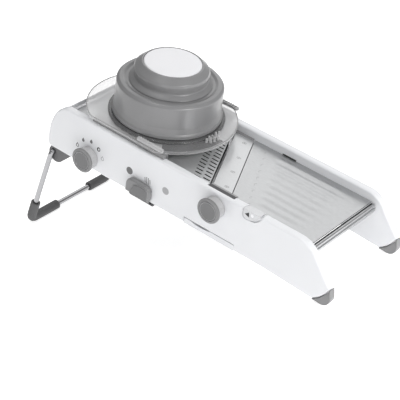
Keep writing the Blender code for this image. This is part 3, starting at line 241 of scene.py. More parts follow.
@dataclass(frozen=True)
class Steel:
    """Stainless steel, brushed or ground along one direction of the deck."""

    name: str
    colour: str
    shade: str
    roughness: float
    streak: float            # width of a streak, in mm
    run: float               # length of a streak, in mm
    relief: float = 0.01
    bare: float = 1.0        # share that mirrors; the rest is diffuse, used on the runway as painted light

    def material(self) -> bpy.types.Material:
        """Build the material: bright metal whose streaks stretch each reflection.

        Returns:
            The material.
        """
        material, tree = empty_material(self.name)
        place = add_node(tree, "ShaderNodeTexCoord").outputs["Object"]
        across = 1000 / self.streak
        along = 1000 / self.run
        mapped = add_node(tree, "ShaderNodeMapping",
                          {"Rotation": (0, -DECK_TILT, 0),
                           "Scale": (along, across, across)}, {"Vector": place})
        # True brush lines are finer than a picture shows, so they are drawn a little coarser.
        streaks = add_node(tree, "ShaderNodeTexNoise", {"Scale": 1.0, "Detail": 4.0},
                           {"Vector": mapped.outputs[0]})
        shader = surface_shader(tree, self, streaks, streaks, (0.08, 0.1), 0.5,
                                {"Metallic": self.bare})
        close_material(tree, shader)
        return material


@dataclass(frozen=True)
class Clear:
    """Clear polycarbonate, moulded and polished."""

    name: str
    colour: str
    roughness: float = 0.04
    veil: float = 0.12       # share of light the wall scatters, face on
    veil_colour: str = "D8D8D9"

    def material(self) -> bpy.types.Material:
        """Build the material: a thin clear wall, veiled at its edges, under a polished skin.

        Returns:
            The material.
        """
        material, tree = empty_material(self.name)
        place = add_node(tree, "ShaderNodeTexCoord").outputs["Object"]
        waves = add_node(tree, "ShaderNodeTexNoise", {"Scale": 1000 / 14, "Detail": 1.0},
                         {"Vector": place})
        bump = add_node(tree, "ShaderNodeBump", {"Strength": 0.4, "Distance": 0.02 * MM},
                        {"Height": waves.outputs[0]})
        plain = add_node(tree, "ShaderNodeBsdfTransparent", {"Color": linear(self.colour)})
        skin = add_node(tree, "ShaderNodeBsdfPrincipled",
                        {"Base Color": linear(self.veil_colour), "Roughness": self.roughness,
                         "IOR": 1.585}, {"Normal": bump.outputs[0]})
        facing = add_node(tree, "ShaderNodeLayerWeight", {"Blend": 0.3},
                          {"Normal": bump.outputs[0]})
        # A wall seen along its length shows far more of its own grey than one seen face on.
        share = add_node(tree, "ShaderNodeMapRange", {"To Min": self.veil, "To Max": 0.85},
                         {"Value": facing.outputs["Facing"]})
        shader = add_node(tree, "ShaderNodeMixShader",
                          links={0: share.outputs[0], 1: plain.outputs[0], 2: skin.outputs[0]})
        close_material(tree, shader)
        return material


# Shell of the rails: cool white with a broad satin sheen, so the long sides stay soft.
WHITE = Moulding("abs_white_satin_moulded", "E4E5E7", "DEDFE2", 0.34, 1.1, 0.006)
# Cap of the pusher: a shade brighter and smoother than the rails.
CAP_WHITE = Moulding("abs_white_cap_moulded", "E6E6E8", "DFDFE2", 0.3, 1.1, 0.005)
# Pusher, knobs, slider and toes: mid grey with a thin gloss that draws lips as bright lines.
GREY = Moulding("abs_grey_fine_texture_moulded", "7E7E7F", "777778", 0.3, 0.9, 0.004, 0.25)
# Faces of the knobs and the thumb pad: darker and flatter than the rim round them.
KNOB_FACE = Moulding("abs_grey_knob_face_moulded", "737374", "6B6B6C", 0.5, 0.8, 0.01)
# Skirts of the knobs: paler than the knob front, a painted reflection of the white rail they fade
# into.
KNOB_SKIRT = Moulding("abs_grey_knob_skirt_painted_reflection", "B0B0B1", "A8A8A9", 0.36)
# Thin trim lines: light grey, a painted highlight beside the mid grey.
GREY_LIGHT = Moulding("abs_grey_painted_highlight", "9B9B9C", "939394", 0.42)
# Hidden nylon works: nearly black beside the white. On the blade's end cap and in the drawer's recess
# the same grey is painted shade.
DARK = Moulding("nylon_dark_grey_and_painted_shade", "4E4E50", "464648", 0.5)
# Black pieces under seams and slots and in grooves: painted shade that keeps them dark.
BLACK = Moulding("black_painted_shade_fill", "1E1E20", "18181A", 0.6)
# Sleeves of the stand: dull and soft, with a coarse skin.
RUBBER = Moulding("rubber_dark_grey_sleeve_moulded", "5A5A5B", "505051", 0.62, 1.2, 0.03)
# Hinge lugs: a mid grey between the rubber and the knobs.
LUG = Moulding("nylon_mid_grey_lug_moulded", "6B6B6C", "616162", 0.5)
# Printed marks: flat mid grey.
INK_DARK = Moulding("ink_dark_pad_printed", "6A6A6B", "666667", 0.45)
# Printed marks: flat light grey.
INK_LIGHT = Moulding("ink_light_pad_printed", "A5A5A7", "A0A0A2", 0.45)
# Printed marks: almost black, for the smallest shapes.
INK_BLACK = Moulding("ink_black_pad_printed", "2A2A2B", "262627", 0.45)
# Latch: pale grey under a clear gloss, so its edge catches light.
LATCH_RESIN = Moulding("abs_pale_grey_latch_moulded", "D0D1D3", "CACBCD", 0.25, coat=0.4)
# Landing plate and front bar: light steel with long brush lines down the deck.
PLATE = Steel("steel_stainless_brushed_plate", "C6C7C8", "B8B9BA", 0.36, 1.2, 40.0)
# Runway: the same steel, lighter and half diffuse as painted light, so it stays light in the shade of
# the carriage.
RUNWAY_STEEL = Steel("steel_runway_painted_light", "D2D3D4", "C4C5C6", 0.42, 1.2, 40.0,
                     bare=0.5)
# Blade: smoother and tighter lines than the plates round it.
BLADE = Steel("steel_stainless_ground_blade", "CACBCC", "BEBFC0", 0.3, 1.0, 30.0, 0.006)
# Honed edge: the smoothest steel, brighter in colour than the blade as a painted glint along it.
EDGE = Steel("steel_honed_edge_painted_glint", "F0F0F1", "E4E4E6", 0.2, 0.8, 20.0, 0.004)
# Julienne combs: steel darkened as painted shade, so they hardly show in the slots.
COMB_STEEL = Steel("steel_comb_darkened_painted_shade", "4A4B4C", "404142", 0.4, 1.0, 12.0)
# Wire of the stand: mirror-like with dark and light bands along its length.
ROD = Steel("steel_polished_drawn_rod", "B4B4B6", "9C9C9E", 0.2, 0.8, 40.0, 0.003)
# Plate of the carriage: all but invisible face on, grey along its edges.
CLEAR = Clear("polycarbonate_clear_polished", "FAFAFA", 0.06, 0.06, "F2F2F3")
# Collar: a dark grey veil, painted shade under the pusher's lip.
CLEAR_COLLAR = Clear("polycarbonate_clear_collar_painted_shade", "E2E2E2", 0.1, 0.5, "707071")
# Clips and fingers: bright and glassy.
CLEAR_CLIP = Clear("polycarbonate_clear_clip", "F0F0F0", 0.06, 0.3, "E2E2E3")
# Front band of the plate and the far clip: a darker grey veil, painted shade from the shadow under
# the carriage.
CLEAR_LIP = Clear("polycarbonate_clear_painted_shade_band", "DEDEDE", 0.08, 0.4, "868687")
# Bead and runners: a grey veil; on the bead it is painted shade that draws the plate's edge as a fine
# outline.
CLEAR_RIM = Clear("polycarbonate_clear_runner_and_painted_edge", "E8E8E8", 0.1, 0.6, "9A9A9B")

Finish = Moulding | Steel | Clear


class Wardrobe:
    """Keeps one material for each finish."""

    def __init__(self) -> None:
        """Start with no materials."""
        self.made: dict[Finish, bpy.types.Material] = {}

    def material(self, finish: Finish) -> bpy.types.Material:
        """The finish's material, built on first use.

        Args:
            finish: the finish that is asked for.

        Returns:
            Its material.
        """
        if finish not in self.made:
            self.made[finish] = finish.material()
        return self.made[finish]


# ---- Mesh building ------------------------------------------------------------------------------

def mesh_of(shape: bmesh.types.BMesh) -> bpy.types.Mesh:
    """Turn a bmesh into mesh data and free it.

    Args:
        shape: the bmesh, which is freed.

    Returns:
        The mesh data, with normals outwards.
    """
    bmesh.ops.recalc_face_normals(shape, faces=shape.faces)
    mesh = bpy.data.meshes.new("shape")
    shape.to_mesh(mesh)
    shape.free()
    return mesh


def arc(centre: Point, radius: float, start: float, end: float, steps: int,
        radius_y: float | None = None) -> Profile:
    """Points of an arc or part of an ellipse.

    Args:
        centre: middle of the arc.
        radius: radius, or the first half axis of an ellipse.
        start: first angle in degrees.
        end: last angle in degrees.
        steps: number of chords.
        radius_y: second half axis.

    Returns:
        The points in order.
    """
    tall = radius if radius_y is None else radius_y
    angles = [math.radians(start + (end - start) * i / steps) for i in range(steps + 1)]
    return [(centre[0] + radius * math.cos(a), centre[1] + tall * math.sin(a)) for a in angles]


def curve_between(start: Point, control: Point, end: Point, steps: int = 10) -> Profile:
    """Points of a quadratic curve, ends included.

    Args:
        start: first point.
        control: point that pulls the curve.
        end: last point.
        steps: number of chords.

    Returns:
        The points in order.
    """
    points = []
    for i in range(steps + 1):
        t = i / steps
        points.append(tuple(
            a * (1 - t) ** 2 + c * 2 * t * (1 - t) + b * t ** 2
            for a, c, b in zip(start, control, end)))
    return points


def filleted(corners: Sequence[Corner], closed: bool = True, steps: int = 5) -> Profile:
    """Round the corners of an outline.

    Args:
        corners: (a, b, radius) for each corner.
        closed: whether the last corner joins the first.
        steps: chords in each rounding.

    Returns:
        The outline with its roundings.
    """
    points: Profile = []
    count = len(corners)
    for i, (a, b, radius) in enumerate(corners):
        at_end = not closed and i in (0, count - 1)
        if radius <= 0 or at_end:
            points.append((a, b))
            continue
        here = Vector((a, b))
        back = Vector(corners[i - 1][:2]) - here
        ahead = Vector(corners[(i + 1) % count][:2]) - here
        half = back.angle(ahead) / 2
        reach = min(radius / math.tan(half), 0.49 * back.length, 0.49 * ahead.length)
        start = here + back.normalized() * reach
        end = here + ahead.normalized() * reach
        points += curve_between(tuple(start), (a, b), tuple(end), steps)
    return points


def slab(outline: Profile, low: float, high: float, edge: float = 0.0,
         holes: Iterable[Profile] = (), steps: int = 2) -> bpy.types.Mesh:
    """A plate between two heights from a plan outline, with rounded edges.

    Args:
        outline: (x, y) points.
        low: underside.
        high: top side.
        edge: radius of the rounded edges.
        holes: outlines of openings.
        steps: rounding steps.

    Returns:
        The plate's mesh.
    """
    curve = bpy.data.curves.new("outline", "CURVE")
    curve.dimensions = "2D"
    curve.fill_mode = "BOTH"
    curve.extrude = (high - low) / 2 - edge
    curve.bevel_depth = edge
    curve.bevel_resolution = steps
    curve.offset = -edge
    for ring in (outline, *holes):
        spline = curve.splines.new("POLY")
        spline.points.add(len(ring) - 1)
        for point, (x, y) in zip(spline.points, ring):
            point.co = (x, y, 0, 1)
        spline.use_cyclic_u = True
    mesh = evaluated_mesh(bpy.data.objects.new("outline", curve))
    shape = bmesh.new()
    shape.from_mesh(mesh)
    bmesh.ops.remove_doubles(shape, verts=shape.verts, dist=WELD)
    bmesh.ops.translate(shape, vec=(0, 0, (low + high) / 2), verts=shape.verts)
    return mesh_of(shape)


def side_slab(outline: Profile, y_low: float, y_high: float, edge: float = 0.0,
              holes: Iterable[Profile] = (), steps: int = 2) -> bpy.types.Mesh:
    """A plate from a side outline of (x, z) points, standing between two y planes.

    Args:
        outline: (x, z) points.
        y_low: near plane.
        y_high: far plane.
        edge: radius of the rounded edges.
        holes: outlines of openings.
        steps: rounding steps.

    Returns:
        The plate's mesh.
    """
    mesh = slab(outline, -y_high, -y_low, edge, holes, steps)
    mesh.transform(Matrix.Rotation(math.pi / 2, 4, "X"))
    return mesh


def block(low: Sequence[float], high: Sequence[float], edge: float = 0.0) -> bpy.types.Mesh:
    """A box between two corners, with its edges rounded.

    Args:
        low: corner with the smallest values.
        high: corner with the largest values.
        edge: radius of the rounded edges.

    Returns:
        The box's mesh.
    """
    shape = bmesh.new()
    bmesh.ops.create_cube(shape, size=1)
    size = [b - a for a, b in zip(low, high)]
    middle = [(a + b) / 2 for a, b in zip(low, high)]
    bmesh.ops.scale(shape, vec=size, verts=shape.verts)
    bmesh.ops.translate(shape, vec=middle, verts=shape.verts)
    if edge:
        bmesh.ops.bevel(shape, geom=shape.edges, offset=edge, segments=4, profile=0.5,
                        affect="EDGES")
    return mesh_of(shape)


def turned(profile: Profile, centre: Sequence[float], closed: bool = False, steps: int = 96,
           near: bool = False) -> bpy.types.Mesh:
    """Turn an (r, z) profile about an axis through a centre.

    Args:
        profile: radius and height of each point.
        centre: place of the axis at height zero.
        closed: whether the last point joins the first.
        steps: points around.
        near: whether heights grow towards the near side instead of upwards.

    Returns:
        The turned mesh.
    """
    shape = bmesh.new()
    rings = []
    for radius, height in profile:
        if radius < 1e-6:
            rings.append([shape.verts.new((0, 0, height))])
            continue
        angles = [2 * math.pi * i / steps for i in range(steps)]
        rings.append([shape.verts.new((radius * math.cos(a), radius * math.sin(a), height))
                      for a in angles])
    pairs = list(zip(rings, rings[1:])) + ([(rings[-1], rings[0])] if closed else [])
    for one, two in pairs:
        bridge(shape, one, two)
    mesh = mesh_of(shape)
    if near:
        mesh.transform(Matrix.Rotation(math.pi / 2, 4, "X"))
    mesh.transform(Matrix.Translation(centre))
    return mesh


def bridge(shape: bmesh.types.BMesh, one: list, two: list) -> None:
    """Join two rings of vertices with faces; a ring of one vertex is a pole.

    Args:
        shape: the bmesh to add faces to.
        one: first ring of vertices.
        two: second ring of vertices.
    """
    count = max(len(one), len(two))
    if count == 1:
        return
    for i in range(count):
        corners = [one[i % len(one)], one[(i + 1) % count % len(one)],
                   two[(i + 1) % count % len(two)], two[i % len(two)]]
        unique = list(dict.fromkeys(corners))
        if len(unique) > 2:
            shape.faces.new(unique)


def rod(start: Sequence[float], length: float, radius: float, edge: float = 0.0,
        steps: int = 48) -> bpy.types.Mesh:
    """A round rod along +Y from its start.

    Args:
        start: middle of its near end.
        length: its length.
        radius: its radius.
        edge: chamfer at both ends.
        steps: points around.

    Returns:
        The rod's mesh.
    """
    profile = [(0, 0), (radius - edge, 0), (radius, edge), (radius, length - edge),
               (radius - edge, length), (0, length)]
    mesh = turned(profile, (0, 0, 0), steps=steps)
    mesh.transform(Matrix.Rotation(-math.pi / 2, 4, "X"))
    mesh.transform(Matrix.Translation(start))
    return mesh


def swept(points: list[Vector], radius: float, sides: int = 32,
          bore: float = 0.0) -> bpy.types.Mesh:
    """A round rod, or a sleeve when it has a bore, along a route.

    Args:
        points: middle line.
        radius: outer radius.
        sides: points around.
        bore: inner radius of a sleeve.

    Returns:
        The swept mesh.
    """
    ways = [(b - a).normalized() for a, b in zip(points, points[1:])]
    ways = [ways[0]] + [(a + b).normalized() for a, b in zip(ways, ways[1:])] + [ways[-1]]
    side = ways[0].orthogonal().normalized()
    shape = bmesh.new()
    outer, inner = [], []
    for number, (point, way) in enumerate(zip(points, ways)):
        side = (side - way * side.dot(way)).normalized()
        up = way.cross(side)
        end = number in (0, len(points) - 1)
        around = [2 * math.pi * i / sides for i in range(sides)]
        for rings, size in ((outer, radius), (inner, bore)):
            rings.append([shape.verts.new(point + (side * math.cos(a) + up * math.sin(a)) * size)
                          for a in around] if size else [])
        if end:
            chamfer = SLEEVE_CHAMFER if bore else WIRE_CHAMFER
            shift = way * (chamfer if number else -chamfer)
            for vertex in outer[-1]:
                vertex.co = point + (vertex.co - point) * (1 - chamfer / radius)
            full = [shape.verts.new(point - shift + (v.co - point) / (1 - chamfer / radius))
                    for v in outer[-1]]
            outer[-1:] = [outer[-1], full] if number == 0 else [full, outer[-1]]
    for one, two in zip(outer, outer[1:]):
        bridge(shape, one, two)
    if bore:
        for one, two in zip(inner, inner[1:]):
            bridge(shape, one, two)
        bridge(shape, outer[0], inner[0])
        bridge(shape, outer[-1], inner[-1])
    else:
        shape.faces.new(outer[0])
        shape.faces.new(outer[-1])
    return mesh_of(shape)


def evaluated_mesh(piece: bpy.types.Object) -> bpy.types.Mesh:
    """Bake a helper object with its modifiers into a mesh, and remove the helper.

    Args:
        piece: the helper, which is removed.

    Returns:
        The mesh it shows.
    """
    bpy.context.scene.collection.objects.link(piece)
    graph = bpy.context.evaluated_depsgraph_get()
    mesh = bpy.data.meshes.new_from_object(piece.evaluated_get(graph))
    bpy.data.objects.remove(piece)
    return mesh


def carved(mesh: bpy.types.Mesh, cutters: Iterable[bpy.types.Mesh],
           operation: str = "DIFFERENCE") -> bpy.types.Mesh:
    """Cut meshes away from a mesh, or join them on to it.

    Args:
        mesh: the body to work on.
        cutters: the meshes to cut away or to join on.
        operation: the kind of Boolean.

    Returns:
        The worked mesh.
    """
    body = bpy.data.objects.new("body", mesh)
    helpers = []
    for cutter in cutters:
        helper = bpy.data.objects.new("cutter", cutter)
        bpy.context.scene.collection.objects.link(helper)
        helpers.append(helper)
        step = body.modifiers.new("cut", "BOOLEAN")
        step.operation = operation
        step.object = helper
    result = evaluated_mesh(body)
    for helper in helpers:
        bpy.data.objects.remove(helper)
    return result


def joined(meshes: Iterable[bpy.types.Mesh]) -> bpy.types.Mesh:
    """Put several meshes into one, as separate shells.

    Args:
        meshes: the meshes to gather.

    Returns:
        One mesh that holds them all.
    """
    shape = bmesh.new()
    for mesh in meshes:
        shape.from_mesh(mesh)
    return mesh_of(shape)


def mirrored(mesh: bpy.types.Mesh) -> bpy.types.Mesh:
    """The same mesh on the far side of the deck.

    Args:
        mesh: a mesh on the near side.

    Returns:
        Its mirror image.
    """
    copy = mesh.copy()
    copy.transform(Matrix.Scale(-1, 4, (0, 1, 0)))
    copy.flip_normals()
    return copy


def sheared(mesh: bpy.types.Mesh) -> bpy.types.Mesh:
    """Slide points along X so that straight-across lines run along the cutting edge.

    Args:
        mesh: a mesh drawn straight across the deck.

    Returns:
        The same mesh, slanted.
    """
    for vertex in mesh.vertices:
        vertex.co.x -= vertex.co.y * SLANT
    return mesh


def slanted(x: float, y: float) -> Point:
    """A place on a line parallel to the cutting edge."""
    return (x - y * SLANT, y)


def strip_plan(x_low: float, x_high: float, y_low: float, y_high: float) -> Profile:
    """Plan of a strip that runs parallel to the cutting edge."""
    return [slanted(x_low, y_low), slanted(x_high, y_low), slanted(x_high, y_high),
            slanted(x_low, y_high)]


class Deck:
    """The tilted frame that pieces are drawn in, and the way they are added to the scene."""

    def __init__(self, frame: dict[str, Any]) -> None:
        """Find the deck's place from the carriage's way and the thickness knob's axis.

        Args:
            frame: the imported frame, with its joints and nodes.
        """
        joints = {joint["name"]: joint for joint in frame["joints"]}
        along = Vector(joints["carriage_slide"]["axis"]).normalized()
        across = Vector((0, 1, 0))
        turn = Matrix((along, across, along.cross(across))).transposed()
        knob = Vector((KNOB_PLACES[0][0], -HALF_OUT, KNOB_PLACES[0][1])) * MM
        place = Vector(joints["thickness_turn"]["pos_m"]) - turn @ knob
        self.matrix = Matrix.Translation(place) @ turn.to_4x4()
        self.nodes = frame["nodes"]
        self.wardrobe = Wardrobe()

    def add(self, name: str, mesh: bpy.types.Mesh, finish: Finish, body: Body, slot: Slot,
            stands_for: Sequence[str] = (), crease: float = 32) -> bpy.types.Object:
        """Add a finished piece to the scene.

        Args:
            name: plain name of the piece.
            mesh: its mesh in deck millimetres.
            finish: what it is made of.
            body: the body it rides on.
            slot: the record's slot for the piece; not used.
            stands_for: nodes of the frame that it is shown instead of.
            crease: edges sharper than this many degrees stay crisp.

        Returns:
            The new object.
        """
        mesh.transform(Matrix.Scale(MM, 4))
        mesh.shade_smooth()
        mesh.set_sharp_from_angle(angle=math.radians(crease))
        draft = bpy.data.objects.new(name, mesh)
        normals = draft.modifiers.new("normals", "WEIGHTED_NORMAL")
        normals.keep_sharp = True
        piece = bpy.data.objects.new(name, evaluated_mesh(draft))
        piece.data.name = name
        piece.data.materials.clear()
        piece.data.materials.append(self.wardrobe.material(finish))
        piece.data.transform(self.matrix)
        bpy.context.scene.collection.objects.link(piece)
        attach(piece, body.value)
        if stands_for:
            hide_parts(*stands_for)
        LOG.info("%s: %d faces", name, len(piece.data.polygons))
        return piece

    def add_both(self, name: str, mesh: bpy.types.Mesh, finishes: Sequence[Finish], body: Body,
                 slot: Slot, node: str) -> None:
        """Add a piece on the near side and its mirror image on the far side.

        Args:
            name: plain name of the piece, without its side.
            mesh: the near piece's mesh.
            finishes: what the near and the far piece are made of.
            body: the body they ride on.
            slot: the record's slot, handed on to each piece.
            node: name of the nodes they are shown instead of, with {} for the side.
        """
        for side, copy, finish in zip(("near", "far"), (mesh, mirrored(mesh)), finishes):
            self.add(f"{side}_{name}", copy, finish, body, slot, [node.format(side)])

    def keep(self, names: Iterable[str], finish: Finish) -> None:
        """Give nodes of the frame a better material and keep their shape.

        Args:
            names: nodes to keep.
            finish: what they are made of.
        """
        for name in names:
            node = self.nodes[name]
            node.data.materials.clear()
            node.data.materials.append(self.wardrobe.material(finish))
            LOG.info("%s: kept", name)


# ---- Rails, feet and fixed pieces ---------------------------------------------------------------

@dataclass
class Rails:
    """The two white side mouldings with their grey toes."""

    depth: float = 58.0
    rounding: float = 2.4
    head: Point = (28.0, 46.0)
    shoulder: float = 30.0
    leg_slope: float = 50.0
    foot_back: Point = (365.4, -61.0)
    foot_top: Point = (384.4, -39.0)
    toe: Point = (376.6, -51.6)
    toe_radius: float = 10.4
    latch_travel: float = 2.5
    ties: tuple[Point, ...] = ((38, -48), (318, -34))
    tie_radius: float = 3.3
    shaft_bores: Point = (3.4, 2.6)      # for the thickness shaft and the lock shaft
    bearing_depth: float = 5.75          # blind bore for the shaft's end in the far rail
    screw_radius: float = 3.6
    screw_pocket: float = 3.9
    socket_radius: float = 1.7

    def seat(self, shift: float) -> Profile:
        """The bowed line between leg and toe, from its top to its back.

        Args:
            shift: gap to the leg.

        Returns:
            Its points, from back to top.
        """
        way = Vector(self.foot_top) - Vector(self.foot_back)
        out = Vector((way.y, -way.x)).normalized()
        middle = (Vector(self.foot_top) + Vector(self.foot_back)) / 2
        ends = [Vector(p) + out * shift for p in (self.foot_back, self.foot_top)]
        return curve_between(tuple(ends[0]), tuple(middle + out * (5 + shift)), tuple(ends[1]), 12)

    def outline(self) -> Profile:
        """Side outline: curved upper end, level top, leg and the foot's seat.

        Returns:
            The outline's points.
        """
        slope = math.radians(self.leg_slope)
        drop = -self.foot_top[1] - self.shoulder * (1 - math.cos(slope))
        bend_x = self.foot_top[0] - drop / math.tan(slope) - self.shoulder * math.sin(slope)
        run, rise = self.head
        points = arc((run, -rise), run, 90, 180, 24, rise)
        points += arc((5, -self.depth + 5), 5, 180, 270, 6)
        points += [(self.foot_back[0] - 65, -self.depth)]
        points += self.seat(0)
        points += arc((bend_x, -self.shoulder), self.shoulder, 90 - self.leg_slope, 90, 18)
        return points

    def tie_seats(self, side: int) -> list[bpy.types.Mesh]:
        """Holes for the cross ties, with counterbores in the far rail.

        Args:
            side: -1 for the near rail, 1 for the far rail.

        Returns:
            The cutters.
        """
        cutters = []
        for x, z in self.ties:
            start = -HALF_IN - RAIL_WALL / 2 if side < 0 else HALF_IN - GAP
            cutters.append(rod((x, start, z), RAIL_WALL / 2 + GAP, self.tie_radius))
            if side > 0:
                cutters.append(rod((x, HALF_OUT - 2.5, z), 3.5, self.screw_pocket))
        return cutters

    def near_cutters(self) -> list[bpy.types.Mesh]:
        """Room for the knob shafts, the blade's end, the drawer and the latch.

        Returns:
            The cutters.
        """
        end = self.latch_travel + SLIP
        shafts = [rod((x, -HALF_OUT - 1, z), 12, radius)
                  for (x, z), radius in zip(KNOB_PLACES, self.shaft_bores)]
        return shafts + [
            block((END_BLOCK[0] + 0.7, -64.0, -13.5), (END_BLOCK[1] + 1.7, -57, 1)),
            block((198.5, -HALF_OUT - 1, -59), (265.5, -57, -50.1)),
            slab(Latch().plan(SLIP, end, 1), -2.7, 1),
            side_slab(Latch().side(SLIP, end, 1), -HALF_OUT - 1, -HALF_OUT + 1.7),
        ]

    def build(self, deck: Deck) -> None:
        """Build both rails, the toes and the screws.

        Args:
            deck: the deck that takes the pieces.
        """
        outline = self.outline()
        near = side_slab(outline, -HALF_OUT, -HALF_IN, self.rounding, steps=4)
        near = carved(near, self.near_cutters() + self.tie_seats(-1))
        deck.add("near_rail_moulding", near, WHITE, Body.FRAME, Slot.WHITE, ["near_rail"])
        far = side_slab(outline, HALF_IN, HALF_OUT, self.rounding, steps=4)
        dial_x, dial_z = KNOB_PLACES[0]
        bearing = rod((dial_x, HALF_IN - 1, dial_z), self.bearing_depth, self.shaft_bores[0])
        far = carved(far, [bearing] + self.tie_seats(1))
        deck.add("far_rail_moulding", far, WHITE, Body.FRAME, Slot.WHITE, ["far_rail"])
        self.toes(deck)
        for number, (x, z) in enumerate(self.ties, start=1):
            head = rod((x, HALF_OUT - 2.2, z), 1.9, self.screw_radius, 0.4)
            socket = rod((x, HALF_OUT - 1.5, z), 3, self.socket_radius, steps=6)
            deck.add(f"rail_screw_head_{number}", carved(head, [socket]), ROD, Body.FRAME,
                     Slot.ROD, [f"rail_screw_{number}"])

    def toes(self, deck: Deck) -> None:
        """Grey toes under the front legs.

        Args:
            deck: the deck that takes the pieces.
        """
        seat = self.seat(GAP)[::-1]
        corners = [(x, z, 0) for x, z in arc(self.toe, self.toe_radius, -90, 14, 16)]
        corners += [(*seat[0], 1.3)] + [(x, z, 0) for x, z in seat[2:-1]] + [(*seat[-1], 1.3)]
        outline = filleted(corners)
        for name, low, high in (("near", -HALF_OUT, -HALF_IN), ("far", HALF_IN, HALF_OUT)):
            mesh = side_slab(outline, low + 0.1, high - 0.1, 1.0, steps=4)
            deck.add(f"{name}_toe", mesh, GREY, Body.FRAME, Slot.GREY, [f"{name}_foot"])


@dataclass
class Knob:
    """A round grey knob with a lipped edge and a disc in its face."""

    name: str
    body: Body
    place: Point
    stands_for: str
    radius: float = 14.3
    height: float = 13.2

    def build(self, deck: Deck) -> None:
        """Build the front, its groove, the tapered skirt, the face disc and its ring.

        Args:
            deck: the deck that takes the pieces.
        """
        r, h = self.radius, self.height
        centre = (self.place[0], -HALF_OUT - GAP, self.place[1])
        front = filleted([
            (0, h - 1.6, 0), (r - 3.4, h - 1.6, 0.2), (r - 3.4, h, 0.3), (r - 2.8, h, 0.2),
            (r - 2.5, h - 0.5, 0.2), (r - 0.7, h - 0.7, 0.3), (r - 0.1, h - 1.3, 0.5),
            (r - 0.1, h - 2.2, 0.1), (0, h - 2.2, 0)], closed=False)
        groove = [(0, h - 2.25), (r - 0.5, h - 2.25), (r - 0.5, h - 2.75), (0, h - 2.75)]
        skirt = filleted([(0, h - 2.8, 0), (r - 0.1, h - 2.8, 0.4), (r - 1.3, h / 2, 6),
                          (r - 1.9, 1.0, 0.8), (r - 2.1, 0, 0.2), (0, 0, 0)], closed=False)
        face = filleted([(0, h - 0.2, 0), (r - 4.4, h - 0.2, 0.5), (r - 3.7, h - 0.9, 0.3),
                         (r - 3.7, h - 1.3, 0), (0, h - 1.3, 0)], closed=False)
        ring = [(r - 4.6, h - 0.3), (r - 4.5, h + 0.02), (r - 4.0, h + 0.02), (r - 3.9, h - 0.3)]
        # The black groove is painted shade in the gap under the front, the pale skirt is a painted
        # reflection of the white rail, and the light ring is a painted highlight on the face's edge.
        for part, profile, finish, slot, stands_for in (
                ("front", front, GREY, Slot.GREY, [self.stands_for]),
                ("groove", groove, BLACK, Slot.DARK, []),
                ("skirt", skirt, KNOB_SKIRT, Slot.GREY, []),
                ("face", face, KNOB_FACE, Slot.GREY, [f"{self.stands_for}_disc"]),
                ("ring", ring, INK_LIGHT, Slot.GREY, [])):
            mesh = turned(profile, centre, closed=part == "ring", near=True)
            deck.add(f"{self.name}_{part}", mesh, finish, self.body, slot, stands_for)


@dataclass
class Bridges:
    """Cross pieces between the rails: head bridge, front bar, a black strip of painted shade and
    hinge lugs.
    """

    half: float = HALF_IN - GAP
    head_centre: Point = (28, -46)
    head_outer: Point = (26.5, 44.5)
    head_inner: Point = (23, 41)
    hinge: Place = (5, -85.5, -67)
    hinge_bore: float = 3.4
    lug_centre: Point = (9, -68.5)
    lug_radius: float = 11

    def build(self, deck: Deck) -> None:
        """Build the cross pieces.

        Args:
            deck: the deck that takes the pieces.
        """
        (run, rise), (run_in, rise_in) = self.head_outer, self.head_inner
        outer = arc(self.head_centre, run, 106, 172, 24, rise)
        inner = arc(self.head_centre, run_in, 172, 106, 24, rise_in)
        deck.add("head_cross_piece", side_slab(outer + inner, -self.half, self.half, 0.4), WHITE,
                 Body.FRAME, Slot.WHITE, ["head_bridge"])
        bar = filleted([
            (349.0, -20.2, 0.4), (349.0, -11.6, 0.6), (350.6, -11.3, 0.8), (351.9, -12.3, 0.6),
            (352.0, -14.2, 0.4), (350.9, -15.1, 0.3), (350.9, -15.7, 0.3), (352.8, -16.2, 0.8),
            (352.9, -19.6, 0.8), (351.6, -20.3, 0.4)])
        deck.add("front_folded_bar", side_slab(bar, -self.half, self.half, 0.2), PLATE,
                 Body.FRAME, Slot.PLATE, ["front_bar"])
        # Black strip under the gap between the landing plate and the bar: painted shade.
        gap_shade = block((346.8, -self.half + 0.4, -13.9), (348.7, self.half - 0.4, -12.2), 0.2)
        deck.add("front_gap_painted_shade_strip", gap_shade, BLACK, Body.FRAME, Slot.DARK)
        self.lugs(deck)

    def lugs(self, deck: Deck) -> None:
        """Hinge lugs under the rails' upper ends.

        Args:
            deck: the deck that takes the pieces.
        """
        outline = arc(self.lug_centre, self.lug_radius, 170, 320, 20)
        outline += [(33, -59.5), (31, -46), (8, -46)]
        under = block((-10, -69, -58.3), (34, -57.7, 0))
        bore = rod(self.hinge, 40, self.hinge_bore)
        lug = carved(side_slab(outline, -62, -50.5, 0.8), [under, bore])
        deck.add_both("hinge_lug", lug, (LUG, LUG), Body.FRAME, Slot.DARK, "{}_lug")


